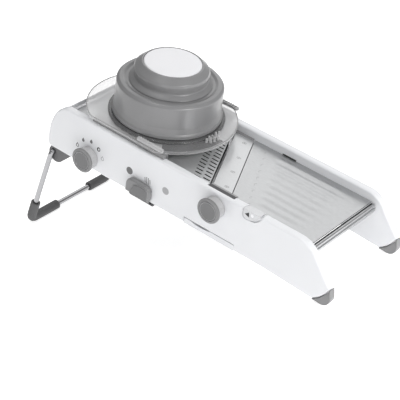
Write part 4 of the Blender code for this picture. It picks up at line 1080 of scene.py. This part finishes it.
@dataclass
class Cutting:
    """Landing plate, blade, its ends and bed, and the slotted runway."""

    top: float = -9.3
    landing_top: float = -10.3
    landing_end: float = 346.6
    rib_pitch: float = 11.6
    rib_height: float = 0.6
    rib_start: float = 249
    rib_end: float = 338
    ribs: int = 9
    blade_width: float = 26
    blade_thickness: float = 2
    bevel: float = 1.6                   # width of the honed edge
    end_width: float = 5                 # blade's end to the rail
    bed: Point = (202, 221)
    slot_rows: tuple[Point, ...] = ((20.7, 1.5), (8.6, -1.5))   # up the deck, and across it
    slots: int = 17
    slot_pitch: float = 6
    slot_half: Point = (4.5, 1)
    runway_start: float = 21
    ring_places: tuple[Point, ...] = ((227.8, -39.7), (215, -12.9), (202.7, 13.7), (188.7, 41.9))
    cap_shift: float = 1.2

    def rib(self, x: float, y: float) -> float:
        """Height of the ribs over the landing plate at one place.

        Args:
            x: place along the deck.
            y: place across the deck.

        Returns:
            The height in mm.
        """
        first = -self.rib_pitch * (self.ribs - 1) / 2
        number = round((y - first) / self.rib_pitch)
        if not 0 <= number < self.ribs:
            return 0.0
        middle = first + number * self.rib_pitch
        across = max(0.0, math.cos((y - middle) / self.rib_pitch * math.pi * 1.12))
        start, end = self.rib_start - 0.45 * middle, self.rib_end - 0.1 * abs(middle)
        fade_in = min(1.0, max(0.0, (x - start) / 12))
        fade_out = min(1.0, max(0.0, (end - x) / 26))
        return self.rib_height * across ** 1.5 * math.sin(fade_in * math.pi / 2) * fade_out

    def landing(self) -> bpy.types.Mesh:
        """The pressed landing plate: a fine grid lifted by its ribs, then given thickness.

        Returns:
            The plate's mesh.
        """
        shape = bmesh.new()
        start = BLADE_EDGE + 26.8
        columns = 120
        # Near and far side, rows, and where a patch starts beside the blade's end block.
        patches = ((-57.7, -52.5, 6, 253.55), (-52.5, 57.7, 150, None))
        for y_low, y_high, rows, beside in patches:
            grid = []
            for j in range(rows + 1):
                y = y_low + (y_high - y_low) * j / rows
                x_low = beside or slanted(start, y)[0]
                places = [x_low + (self.landing_end - x_low) * i / columns
                          for i in range(columns + 1)]
                grid.append([shape.verts.new((x, y, self.landing_top + self.rib(x, y)))
                             for x in places])
            for one, two in zip(grid, grid[1:]):
                for i in range(columns):
                    shape.faces.new((one[i], one[i + 1], two[i + 1], two[i]))
        plate = bpy.data.objects.new("plate", mesh_of(shape))
        for polygon in plate.data.polygons:
            if polygon.normal.z < 0:
                polygon.flip()
        wall = plate.modifiers.new("wall", "SOLIDIFY")
        wall.thickness = 1.2
        wall.offset = -1
        return evaluated_mesh(plate)

    def blade(self) -> tuple[bpy.types.Mesh, bpy.types.Mesh]:
        """The blade's flat body and its honed edge facet.

        Returns:
            The body and the facet.
        """
        edge, rear = BLADE_EDGE, BLADE_EDGE + self.blade_width
        under = self.top - self.blade_thickness
        body = [(edge + self.bevel, self.top), (rear, self.top), (rear, under), (edge + 5, under),
                (edge + self.bevel, self.top - 0.95)]
        facet = [(edge, self.top - 0.35), (edge + 1.55, self.top), (edge + 1.55, self.top - 0.95),
                 (edge + 0.05, self.top - 0.5)]
        y = HALF_IN - self.end_width
        return (sheared(side_slab(body, -y, y, 0.05)), sheared(side_slab(facet, -y, y)))

    def runway(self, low: float, high: float) -> bpy.types.Mesh:
        """A slotted sheet of the plate that carries the food up to the blade.

        Args:
            low: underside.
            high: top side.

        Returns:
            The sheet's mesh.
        """
        slots = []
        run, width = self.slot_half
        for offset, shift in self.slot_rows:
            for i in range(self.slots):
                y = self.slot_pitch * (i - (self.slots - 1) / 2) + shift
                x = slanted(BLADE_EDGE - offset, y)[0]
                slots.append(filleted([
                    (x - run, y - width, 0.5), (x - run, y + width, 0.5),
                    (x + run, y + width, 0.5), (x + run, y - width, 0.5)], steps=3))
        half = HALF_IN - SLIP
        plan = [(self.runway_start, -half), slanted(BLADE_EDGE - THROAT, -half),
                slanted(BLADE_EDGE - THROAT, half), (self.runway_start, half)]
        return slab(plan, low, high, 0.1, slots, steps=1)

    def build(self, deck: Deck) -> None:
        """Build the plates of the deck.

        Args:
            deck: the deck that takes the pieces.
        """
        deck.add("landing_plate_pressed", self.landing(), PLATE, Body.FRAME, Slot.PLATE,
                 ["landing_plate"])
        body, facet = self.blade()
        deck.add("blade_body", body, BLADE, Body.FRAME, Slot.BLADE, ["slicing_blade"])
        # The honed facet's brighter colour is a painted glint.
        deck.add("blade_honed_edge", facet, EDGE, Body.FRAME, Slot.BLADE)
        deck.add("runway_slotted_plate", self.runway(-11.0, -10.5), RUNWAY_STEEL, Body.RUNWAY,
                 Slot.PLATE, ["runway_plate"])
        # Black sheet under the slotted plate: painted shade that makes the slots read dark.
        deck.add("runway_painted_shade_backing", self.runway(-12.5, -11.05), BLACK, Body.RUNWAY, Slot.DARK)
        y = HALF_IN - self.end_width
        # The bed is black as painted shade under the seam behind the blade.
        bed = slab(strip_plan(*self.bed, -y, y), -14, -11.7, 0.2)
        deck.add("blade_bed_strip", bed, BLACK, Body.FRAME, Slot.DARK, ["blade_bed"])
        plan = strip_plan(BLADE_EDGE, BLADE_EDGE + self.blade_width, y + GAP, HALF_IN - GAP)
        far_end = slab(plan, -12.3, self.top, 0.3)
        deck.add("blade_far_end", far_end, GREY, Body.FRAME, Slot.GREY, ["blade_end_far"])
        x_low, x_high = END_BLOCK
        shift = self.cap_shift
        # The cap is dark as painted shade in the rail's notch; the light strip beside it is the
        # block's top, with painted light.
        cap = block((x_low + shift, -63.7, -13), (x_high + shift, -57.9, -0.6), 0.5)
        deck.add("blade_near_end_cap", cap, DARK, Body.FRAME, Slot.GREY, ["blade_end_near"])
        strip = block((x_low + 0.4, -57.6, -12.6), (x_high - 0.4, -53.3, -2.4), 0.5)
        deck.add("blade_near_end_painted_lit_top", strip, GREY_LIGHT, Body.FRAME, Slot.GREY)
        clip = block((230, 57.1, -10), (248, 58.4, -8.9), 0.3)
        deck.add("far_blade_clip", clip, BLACK, Body.FRAME, Slot.DARK)
        self.marks(deck)

    def marks(self, deck: Deck) -> None:
        """Etch small rings on the blade and arcs where the ribs begin.

        Args:
            deck: the deck that takes the pieces.
        """
        rings = []
        low, high = self.top - 0.1, self.top + 0.04
        for x, y in self.ring_places:
            outer = arc((x, y), 2.6, 0, 345, 23, 1.7)
            inner = arc((x, y), 2.2, 0, 345, 23, 1.3)
            rings.append(slab(outer, low, high, 0, [inner]))
            rings.append(slab(arc((x, y), 0.8, 0, 330, 11, 0.5), low, high))
        deck.add("blade_rings", joined(rings), INK_DARK, Body.FRAME, Slot.BLADE)
        arcs = []
        for i in range(self.ribs):
            y = (i - (self.ribs - 1) / 2) * self.rib_pitch
            x = 240 - 0.5 * y
            outer = arc((x, y), 2.6, 110, 250, 10)
            inner = arc((x, y), 2.0, 250, 110, 10)
            arcs.append(slab(outer + inner, self.landing_top - 0.1, self.landing_top + 0.05))
        deck.add("rib_start_arcs", joined(arcs), INK_LIGHT, Body.FRAME, Slot.PLATE)


# ---- Controls on the near rail ------------------------------------------------------------------

@dataclass
class Selector:
    """Grey thumb slider under the near rail."""

    low: float = 121.5
    high: float = 153.6
    top: float = -36.4
    bottom: float = -53.6
    hook: float = -58.4
    corner: float = 11.0
    depth: float = 6.4
    pad_depth: float = 7.9
    pad_foot: float = 5.6

    def build(self, deck: Deck) -> None:
        """Build the slider's base and its raised thumb pad.

        Args:
            deck: the deck that takes the pieces.
        """
        base = filleted([(self.low, self.bottom + 0.5, 1), (self.low, self.top, self.corner),
                         (self.high, self.top, self.corner), (self.high, self.bottom, 1.5)], steps=10)
        face = -HALF_OUT - SLIP
        tongue = block((self.low + 2, face - 1.6, self.hook), (self.high - 2, face - 0.1, -45), 0.3)
        mesh = carved(side_slab(base, face - self.depth, face, 1.2, steps=4), [tongue], "UNION")
        deck.add("slider_base", mesh, GREY, Body.SELECTOR, Slot.GREY, ["selector_grip"])
        pad = filleted([(129.6, self.bottom + 0.3, 0.8), (129.2, -49.6, 4), (133.6, -39.3, 7),
                        (self.high - 0.8, -38.4, 9), (self.high - 0.8, self.bottom + 0.3, 1.2)],
                       steps=10)
        mesh = side_slab(pad, face - self.pad_depth, face - self.pad_foot, 0.7, steps=3)
        deck.add("slider_thumb_pad", mesh, KNOB_FACE, Body.SELECTOR, Slot.GREY)
        # A light rim round the thumb pad: painted highlight on its edge.
        rim = [(x + (-0.35 if x < 141 else 0.2), z + 0.3) for x, z in pad]
        mesh = side_slab(rim, face - 6.7, face - 6.0, 0.2, steps=2)
        deck.add("slider_pad_painted_highlight_rim", mesh, GREY_LIGHT, Body.SELECTOR, Slot.GREY)


@dataclass
class Latch:
    """Small pale latch over the near rail's top edge."""

    low: float = 269.7
    high: float = 291.0
    drop: float = 12.0

    def plan(self, grow: float = 0, travel: float = 0, over: float = 0) -> Profile:
        """Plan of its top plate, grown for the pocket when asked.

        Args:
            grow: clearance on every side, for the pocket.
            travel: the latch's travel, for the pocket.
            over: how far it reaches past the rail's faces.

        Returns:
            The plan's points.
        """
        near, far = -HALF_OUT + GAP - over - grow, -HALF_IN - GAP + over + grow
        low, high = self.low - grow, self.high + grow + travel
        return [(low, near), (high, near), (high, far), (self.low + 5.2 - grow, far),
                (self.low + 0.9 - grow, -HALF_OUT + GAP + 6)]

    def side(self, grow: float = 0, travel: float = 0, over: float = 0) -> Profile:
        """Side outline: a rounded tongue, grown for the pocket when asked.

        Args:
            grow: clearance on every side, for the pocket.
            travel: the latch's travel, for the pocket.
            over: how far it reaches past the rail's faces.

        Returns:
            The outline's points.
        """
        low, high = self.low - grow, self.high + grow + travel
        bottom = -self.drop - grow
        turn = arc((low + 5.6, bottom + 5.2), 5.6, 180, 280, 16, 5.2)
        tail = [(high - 9, bottom + 1.2), (high - 3.4, bottom + 5.7), (high, -2.2)]
        return [(low + 0.5, -GAP + over)] + turn + tail + [(high, -GAP + over)]

    def build(self, deck: Deck) -> None:
        """Build the latch with its arrow and dot.

        Args:
            deck: the deck that takes the pieces.
        """
        cap = slab(self.plan(), -2.0, -GAP, 0.3)
        cheek = side_slab(self.side(), -HALF_OUT - GAP, -HALF_OUT + 1.2, 0.3)
        deck.add("latch_tongue", carved(cap, [cheek], "UNION"), LATCH_RESIN, Body.LATCH,
                 Slot.CLEAR, ["release_latch"])
        face = -HALF_OUT - GAP
        arrow = filleted([(272.4, -6.1, 0.3), (277.4, -2.2, 0.3), (278.2, -8.2, 0.3)])
        deck.add("latch_arrow", side_slab(arrow, face - 0.06, face + 0.1), INK_BLACK, Body.LATCH,
                 Slot.CLEAR)
        dot = arc((281.6, -4.4), 1.9, 0, 345, 23)
        deck.add("latch_dot", side_slab(dot, face - 0.06, face + 0.1), CAP_WHITE, Body.LATCH,
                 Slot.CLEAR)


@dataclass
class Drawer:
    """Shallow white drawer in the near rail's bottom edge."""

    low: float = 199.0
    high: float = 265.0
    top: float = -50.6
    bottom: float = -58.0
    rear: float = -41.5
    wall: float = 1.6
    recess_x: float = 221
    recess_half: Point = (14.5, 3.6)

    def build(self, deck: Deck) -> None:
        """Build the tray with a finger recess along its top edge.

        Args:
            deck: the deck that takes the pieces.
        """
        tray = block((self.low, -HALF_OUT, self.bottom), (self.high, self.rear, self.top), 0.35)
        over = self.top + self.wall          # the cutters reach out of the tray's open top
        hollow = block((self.low + self.wall, -HALF_IN, self.bottom + self.wall),
                       (self.high - self.wall, self.rear - self.wall, over))
        wide, tall = self.recess_half
        recess = arc((self.recess_x, self.top + 1.2), wide, 180, 360, 24, tall)
        scoop = side_slab(recess, -HALF_OUT - 1.5, -63.5)
        lip = block((self.low - 1, -HALF_OUT - 1.5, self.top - 0.55), (self.high + 1, -66.2, over))
        mesh = carved(tray, [hollow, scoop, lip])
        deck.add("drawer_tray", mesh, WHITE, Body.DRAWER, Slot.WHITE, ["storage_drawer"])
        # Dark sheet at the back of the finger recess: painted shade.
        recess_shade = [(x, z - 0.25) for x, z in recess]
        deck.add("drawer_recess_painted_shade", side_slab(recess_shade, -64.4, -63.4), DARK, Body.DRAWER,
                 Slot.DARK)


@dataclass
class Marks:
    """Printed setting marks on the near rail: dots, drops and rings."""

    proud: float = 0.05
    spread: float = 19.4     # knob's middle to the marks round it
    angles: tuple[float, ...] = (162, 124, 88, 52, 18)
    level: float = -32.3     # height of the marks over the slider
    dot_radius: float = 4.4
    dots: Point = (119.9, 170.5)
    stripes: float = 145.4
    stripe_pitch: float = 2.3
    stripe_halves: tuple[float, ...] = (2.7, 3.9, 3.9, 2.7)

    def prism(self, outline: Profile, holes: Iterable[Profile] = ()) -> bpy.types.Mesh:
        """A printed shape on the rail's outer face."""
        return side_slab(outline, -HALF_OUT - self.proud, -HALF_OUT + 0.1, 0, holes)

    def drop(self, centre: Point, size: float, turn: float) -> Profile:
        """A round drop with one pointed end.

        Args:
            centre: its middle.
            size: its half height.
            turn: its turn in degrees.

        Returns:
            Its outline.
        """
        points = arc((0, 0), size, -230, 50, 20) + [(0, size * 1.75)]
        angle = math.radians(turn)
        cosine, sine = math.cos(angle), math.sin(angle)
        return [(centre[0] + x * cosine - z * sine, centre[1] + x * sine + z * cosine)
                for x, z in points]

    def stripe(self, x: float, half: float) -> Profile:
        """A leaning stripe.

        Args:
            x: its middle.
            half: half of its height.

        Returns:
            Its outline.
        """
        wide, lean = 0.45, 0.5
        top, bottom = self.level + half, self.level - half
        return [(x - wide - lean, top), (x + wide - lean, top), (x + wide + lean, bottom),
                (x - wide + lean, bottom)]

    def build(self, deck: Deck) -> None:
        """Print the marks round the thickness knob and over the slider.

        Args:
            deck: the deck that takes the pieces.
        """
        (knob_x, knob_z), _ = KNOB_PLACES
        dark, light, black = [], [], []
        places = [(knob_x + self.spread * math.cos(math.radians(angle)),
                   knob_z + self.spread * math.sin(math.radians(angle))) for angle in self.angles]
        first, second, third, fourth, fifth = places
        black.append(self.prism(self.drop(first, 2.1, 8), [self.drop(first, 1.3, 8)]))
        dark += [self.prism(self.drop(place, 1.9, 0)) for place in (second, third)]
        ring = arc(fourth, 2.3, 0, 345, 23, 2.7)
        hollow = arc((fourth[0] + 0.3, fourth[1]), 1.1, 0, 345, 23, 1.5)
        black.append(self.prism(ring, [hollow]))
        light.append(self.prism(self.drop(fifth, 2.1, 0), [self.drop(fifth, 1.4, 0)]))
        for batch, x in zip((dark, light), self.dots):
            batch.append(self.prism(arc((x, self.level), self.dot_radius, 0, 350, 35)))
        for i, half in enumerate(self.stripe_halves):
            x = self.stripes + (i - 1.5) * self.stripe_pitch
            dark.append(self.prism(self.stripe(x, half)))
        for name, batch, finish in (("dark", dark, INK_DARK), ("light", light, INK_LIGHT),
                                    ("black", black, INK_BLACK)):
            deck.add(f"marks_{name}", joined(batch), finish, Body.FRAME, Slot.GREY)


# ---- Folding stand ------------------------------------------------------------------------------

@dataclass
class Stand:
    """Bent steel wire with rubber sleeves on its ground corners."""

    pivot: Place = (5.0, -65.5, -67.0)
    leg: float = 106.0
    lean: float = 12.2
    half_foot: float = 68.0
    wire: float = 3.0
    sleeve: float = 5.5
    bore_gap: float = 0.35
    ground_bend: float = 9
    pivot_bend: float = 4
    turned_in: float = 13
    sleeve_up: float = 27
    sleeve_along: Point = (44.5, 36)     # near and far sleeve, along the ground bar

    def bend(self, before: Vector, corner: Vector, after: Vector, radius: float) -> list[Vector]:
        """Points that round one corner of the route.

        Args:
            before: point before the corner.
            corner: the corner itself.
            after: point after the corner.
            radius: radius of the bend.

        Returns:
            Its points in order.
        """
        one, two = (before - corner).normalized(), (after - corner).normalized()
        start, end = corner + one * radius, corner + two * radius
        steps = 12
        return [start * (1 - i / steps) ** 2 + corner * 2 * (i / steps) * (1 - i / steps)
                + end * (i / steps) ** 2 for i in range(steps + 1)]

    def build(self, deck: Deck) -> None:
        """Build the wire and both sleeves.

        Args:
            deck: the deck that takes the pieces.
        """
        lean = math.radians(self.lean)
        pivot = Vector(self.pivot)
        corner = Vector((pivot.x - self.leg * math.sin(lean), -self.half_foot,
                         pivot.z - self.leg * math.cos(lean)))
        end = pivot + Vector((0, self.turned_in, 0))
        middle = Vector((corner.x, 0, corner.z))
        half = [end] + self.bend(end, pivot, corner, self.pivot_bend)
        half += self.bend(pivot, corner, middle, self.ground_bend)
        far = [Vector((p.x, -p.y, p.z)) for p in reversed(half)]
        deck.add("stand_bent_wire", swept(half + far, self.wire), ROD, Body.STAND, Slot.ROD,
                 ["stand_wire"])
        up = corner + (pivot - corner).normalized() * self.sleeve_up
        for name, side, reach in zip(("near", "far"), (1, -1), self.sleeve_along):
            along = corner + Vector((0, reach, 0))
            route = [up] + self.bend(up, corner, along, self.ground_bend) + [along]
            points = [Vector((p.x, side * p.y, p.z)) for p in route]
            mesh = swept(points, self.sleeve, bore=self.wire + self.bore_gap)
            deck.add(f"{name}_rubber_sleeve", mesh, RUBBER, Body.STAND, Slot.RUBBER,
                     [f"{name}_sleeve"])


# ---- Food carriage and pusher -------------------------------------------------------------------

@dataclass
class Carriage:
    """Clear plate, food collar, side runners and finger clips."""

    front: float = 79.0
    rear: float = 77.5
    rear_shift: float = 14.3
    half: float = 68.0
    low: float = 5.8
    high: float = 8.5
    mouth: float = 53.0                  # radius of the opening under the collar
    lip: Point = (65.0, 76.8)            # inner and outer radius of the front lip
    runner_reach: float = 50
    clip_x: Point = (124, 159)
    clip_y: Point = (-67.5, -63)
    clip_z: Point = (8.8, 12.6)
    ridges: int = 9
    ridge_pitch: float = 3.4
    teeth: int = 12
    finger_places: tuple[Point, ...] = (
        (176, -13), (175.5, -8), (179.5, -10.5), (176, -3), (180.5, -5), (176, 2.5), (181, 0.5),
        (176.5, 8))

    def outline(self) -> Profile:
        """Plan of the plate: two arcs, cut straight beside the rails.

        Returns:
            The outline's points.
        """
        a = math.degrees(math.asin(self.half / self.front))
        b = math.degrees(math.asin(self.half / self.rear))
        return (arc((PUSHER_X, 0), self.front, -a, a, 64)
                + arc((PUSHER_X - self.rear_shift, 0), self.rear, 180 - b, 180 + b, 56))

    def build(self, deck: Deck) -> None:
        """Build the clear pieces.

        Args:
            deck: the deck that takes the pieces.
        """
        mouth = arc((PUSHER_X, 0), self.mouth, 0, 357, 119)
        plate = slab(self.outline(), self.low, self.high, 0.8, [mouth], steps=3)
        deck.add("carriage_clear_plate", plate, CLEAR, Body.CARRIAGE, Slot.CLEAR,
                 ["carriage_plate"])
        # A grey bead round the plate's top edge: painted shade that draws its outline.
        rim = self.outline()
        inner = [(PUSHER_X - 7 + (x - PUSHER_X + 7) * 0.987, y * 0.987) for x, y in rim]
        deck.add("carriage_plate_bead", slab(rim, self.high - 0.3, self.high + 0.35, 0.2, [inner]),
                 CLEAR_RIM, Body.CARRIAGE, Slot.CLEAR)
        # A thin darker band over the front of the plate: painted shade from the shadow under the
        # pusher.
        inner_radius, outer_radius = self.lip
        lip = arc((PUSHER_X, 0), outer_radius, -54, 2, 28)
        lip += arc((PUSHER_X, 0), inner_radius, 2, -54, 28)
        deck.add("carriage_front_painted_shade_band", slab(lip, self.high + 0.05, self.high + 0.35, 0.1),
                 CLEAR_LIP, Body.CARRIAGE, Slot.CLEAR)
        profile = filleted([
            (50.5, 11.6, 0.4), (63.5, 11.6, 0.6), (64.5, 10.6, 0.5), (64.5, 8.8, 0.3),
            (52.7, 8.8, 0.3), (52.7, -6, 0.6), (50.5, -6, 0.6)])
        # The collar's dark veil is painted shade under the pusher's lip.
        deck.add("food_collar_ring", turned(profile, (PUSHER_X, 0, 0), closed=True, steps=128),
                 CLEAR_COLLAR, Body.CARRIAGE, Slot.CLEAR, ["food_collar"])
        self.sides(deck)
        self.studs(deck)

    def sides(self, deck: Deck) -> None:
        """Runners that slide on the rails, and the finger clips over them.

        Args:
            deck: the deck that takes the pieces.
        """
        low, high = PUSHER_X - self.runner_reach, PUSHER_X + self.runner_reach
        runner = [(-64, 0.3), (-64, 5.5), (-55.7, 5.5), (-55.7, -1.6), (-57.5, -1.6),
                  (-57.5, 2.6), (-59, 2.6), (-59, 0.3)]
        mesh = slab(runner, low, high, 0.3)
        mesh.transform(Matrix(((0, 0, 1, 0), (1, 0, 0, 0), (0, 1, 0, 0), (0, 0, 0, 1))))
        teeth = [block((low + 4 + 4 * i, -63.6, 5.2), (low + 6 + 4 * i, -58.4, 5.75), 0.15)
                 for i in range(self.teeth)]
        mesh = joined([mesh, *teeth])
        deck.add_both("runner_guide", mesh, (CLEAR_RIM, CLEAR_RIM), Body.CARRIAGE, Slot.CLEAR,
                      "carriage_runner_{}")
        (x_low, x_high), (y_low, y_high), (z_low, z_high) = self.clip_x, self.clip_y, self.clip_z
        plan = filleted([(x_low, y_low, 1.6), (x_high, y_low, 1.6), (x_high, y_high, 1.6),
                         (x_low, y_high, 1.6)])
        clip = slab(plan, z_low, z_high, 1.0, steps=3)
        starts = [x_low + 3 + self.ridge_pitch * i for i in range(self.ridges)]
        ridges = [block((x, y_low + 0.5, z_high - 0.2), (x + 1.3, y_high - 0.5, z_high + 0.6), 0.3)
                  for x in starts]
        clip = joined([clip, *ridges])
        # The far clip takes the darker veil as painted shade; the near one stays bright.
        deck.add_both("finger_clip", clip, (CLEAR_CLIP, CLEAR_LIP), Body.CARRIAGE, Slot.CLEAR,
                      "carriage_clip_{}")

    def studs(self, deck: Deck) -> None:
        """Clear moulded fingers on the plate beside the collar.

        Args:
            deck: the deck that takes the pieces.
        """
        studs = []
        for i, (x, y) in enumerate(self.finger_places):
            top = 13.5 + (i % 3) * 0.9
            profile = filleted([(0, top, 0), (1.1, top, 0.7), (1.5, 8.9, 0.2), (0, 8.9, 0)],
                               closed=False)
            studs.append(turned(profile, (x, y, 0), steps=20))
        deck.add("carriage_clear_fingers", joined(studs), CLEAR_CLIP, Body.CARRIAGE, Slot.CLEAR)


@dataclass
class Pusher:
    """Grey food pusher: skirt, grip, white cap and the pronged plunger inside."""

    centre: Place = (PUSHER_X, 0.0, 0.0)
    prong_rings: tuple[Point, ...] = ((7, 18.0), (12, 36.0))     # prongs and radius of a ring

    def build(self, deck: Deck) -> None:
        """Build the pusher.

        Args:
            deck: the deck that takes the pieces.
        """
        skirt = filleted([
            (38.2, 50.0, 0), (48.6, 50.0, 1.2), (51.6, 51.5, 1.6), (55.6, 51.0, 2.2),
            (58.7, 48.4, 2.6), (58.5, 24.0, 10), (59.4, 17.5, 2), (60.8, 16.2, 0.6),
            (60.8, 12.4, 0.6), (58.3, 12.4, 0.4), (57.6, 16.5, 2), (55.8, 22.0, 4),
            (55.2, 46.6, 1.2), (38.2, 46.6, 0)])
        grip = filleted([
            (31.9, 72.5, 0.3), (33.6, 72.2, 0.6), (40.2, 66.6, 1.6), (41.3, 64.0, 1.4),
            (40.9, 60.8, 1.0), (40.4, 58.4, 4.0), (40.2, 55.2, 2.4), (44.0, 52.2, 2.0),
            (46.0, 50.4, 0.4), (40.5, 50.4, 0.3), (38.4, 58.6, 2), (27.6, 66.6, 0.5),
            (27.6, 69.2, 0.2), (31.9, 69.2, 0.2)])
        cap = filleted([(0, 73.3, 0), (22, 73.2, 8), (30.6, 72.8, 0.6), (31.6, 72.0, 0.4),
                        (31.6, 69.6, 0), (0, 69.6, 0)], closed=False)
        for name, profile, closed, finish, slot, node in (
                ("pusher_skirt_moulding", skirt, True, GREY, Slot.GREY, "pusher_skirt"),
                ("pusher_grip_moulding", grip, True, GREY, Slot.GREY, "pusher_grip"),
                ("pusher_white_cap", cap, False, CAP_WHITE, Slot.WHITE, "pusher_cap")):
            mesh = turned(profile, self.centre, closed=closed, steps=160)
            deck.add(name, mesh, finish, Body.PUSHER, slot, [node])
        cup = filleted([(0, -3.5, 0), (49.5, -3.5, 1.2), (49.5, 46.1, 0.6), (46.9, 46.1, 0.6),
                        (46.9, -0.9, 0.8), (0, -0.9, 0)], closed=False)
        mesh = turned(cup, self.centre, steps=128)
        prongs = []
        for count, radius in self.prong_rings:
            for i in range(count):
                a = 2 * math.pi * i / count
                place = (PUSHER_X + radius * math.cos(a), radius * math.sin(a), 0)
                profile = filleted([(0, -7.7, 0), (0.5, -7.6, 0.2), (1.8, -3.2, 0), (0, -3.2, 0)],
                                   closed=False)
                prongs.append(turned(profile, place, steps=16))
        deck.add("plunger_cup", joined([mesh, *prongs]), GREY, Body.PUSHER, Slot.GREY,
                 ["plunger"])


@dataclass
class Inside:
    """Working pieces inside the slicer, kept as the frame has them with real finishes."""

    def build(self, deck: Deck) -> None:
        """Dress the kept nodes.

        Args:
            deck: the deck that takes the pieces.
        """
        deck.keep(["ledge_near", "ledge_far", "drawer_guide"], WHITE)
        deck.keep(["cross_tie_1", "cross_tie_2", "thickness_shaft", "lock_shaft"], ROD)
        deck.keep(["pinion_near", "pinion_far", "ramp_bar_near", "ramp_bar_far",
                   "ramp_cross_strip", "runway_rib_near", "runway_rib_far", "comb_carrier",
                   "selector_bar"], DARK)
        deck.keep(["comb_upper", "comb_lower"], COMB_STEEL)


# ---- Studio -------------------------------------------------------------------------------------

@dataclass
class Studio:
    """Camera, pale floor and soft lights."""

    place: Place = (883.340, -1055.489, 800.837)
    right: Place = (0.772950, 0.622821, 0.121006)
    up: Place = (-0.435690, 0.382401, 0.814828)
    forward: Place = (-0.461219, 0.682542, -0.566933)
    lens: float = 125.7
    sky: float = 0.38                    # strength of the white surroundings
    floor_glow: float = 0.68
    # Name, place in metres, size in metres and power in watts of each light.
    lights: tuple[tuple[str, Place, float, float], ...] = (
        ("key", (1.4, -0.15, 0.75), 0.6, 11),
        ("fill", (0.7, -1.5, 0.7), 0.8, 2.4),
        ("back", (-0.46, 1.09, 1.08), 1.5, 5.5),
        ("top", (0.2, -0.3, 2.0), 0.8, 9))

    def camera(self, deck: Deck) -> None:
        """Place the camera.

        Args:
            deck: the deck that takes the pieces.
        """
        data = bpy.data.cameras.new("view")
        data.lens = self.lens
        data.sensor_width = 36
        data.clip_start = 0.05
        data.clip_end = 50
        camera = bpy.data.objects.new("view", data)
        turn = Matrix((self.right, self.up, tuple(-v for v in self.forward))).transposed()
        camera.matrix_world = (deck.matrix @ Matrix.Translation(Vector(self.place) * MM)
                               @ turn.to_4x4())
        bpy.context.scene.collection.objects.link(camera)
        bpy.context.scene.camera = camera

    def floor(self) -> None:
        """Lay a wide pale floor."""
        material, tree = empty_material("floor_pale_matt_paper")
        diffuse = add_node(tree, "ShaderNodeBsdfDiffuse", {"Color": (0.9, 0.9, 0.9, 1)})
        glow = add_node(tree, "ShaderNodeEmission",
                        {"Color": (1, 1, 1, 1), "Strength": self.floor_glow})
        shader = add_node(tree, "ShaderNodeAddShader",
                          links={0: diffuse.outputs[0], 1: glow.outputs[0]})
        close_material(tree, shader)
        shape = bmesh.new()
        bmesh.ops.create_grid(shape, x_segments=1, y_segments=1, size=6)
        floor = bpy.data.objects.new("floor", mesh_of(shape))
        floor.data.materials.append(material)
        bpy.context.scene.collection.objects.link(floor)

    def light(self, name: str, place: Sequence[float], size: float, power: float) -> None:
        """Hang one soft area light that faces the slicer.

        Args:
            name: its name.
            place: where it stands, in metres.
            size: how wide it is, in metres.
            power: its power in watts.
        """
        data = bpy.data.lights.new(name, "AREA")
        data.shape = "DISK"
        data.size = size
        data.energy = power
        lamp = bpy.data.objects.new(name, data)
        lamp.location = place
        aim = Vector((0, 0, 0.1)) - Vector(place)
        lamp.rotation_euler = aim.to_track_quat("-Z", "Y").to_euler()
        bpy.context.scene.collection.objects.link(lamp)

    def build(self, deck: Deck) -> None:
        """Set up the studio.

        Args:
            deck: the deck that takes the pieces.
        """
        self.camera(deck)
        self.floor()
        world = bpy.data.worlds.new("studio")
        bpy.context.scene.world = world
        world.use_nodes = True
        background = world.node_tree.nodes["Background"]
        background.inputs["Color"].default_value = (1, 1, 1, 1)
        background.inputs["Strength"].default_value = self.sky
        for name, place, size, power in self.lights:
            self.light(name, place, size, power)
        bpy.context.scene.view_settings.view_transform = "Standard"


def main() -> None:
    """Build every assembly in order."""
    logging.basicConfig(level=logging.INFO, format="%(name)s %(message)s")
    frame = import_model()
    deck = Deck(frame)
    assemblies = (
        Rails(), Bridges(), Cutting(),
        Knob("thickness_dial", Body.DIAL, KNOB_PLACES[0], "thickness_knob"),
        Knob("blade_lock", Body.LOCK, KNOB_PLACES[1], "lock_knob"),
        Selector(), Latch(), Drawer(), Marks(), Stand(), Carriage(), Pusher(), Inside())
    for assembly in assemblies:
        assembly.build(deck)
        LOG.info("%s done", type(assembly).__name__)
    Studio().build(deck)


if __name__ == "__main__":
    main()
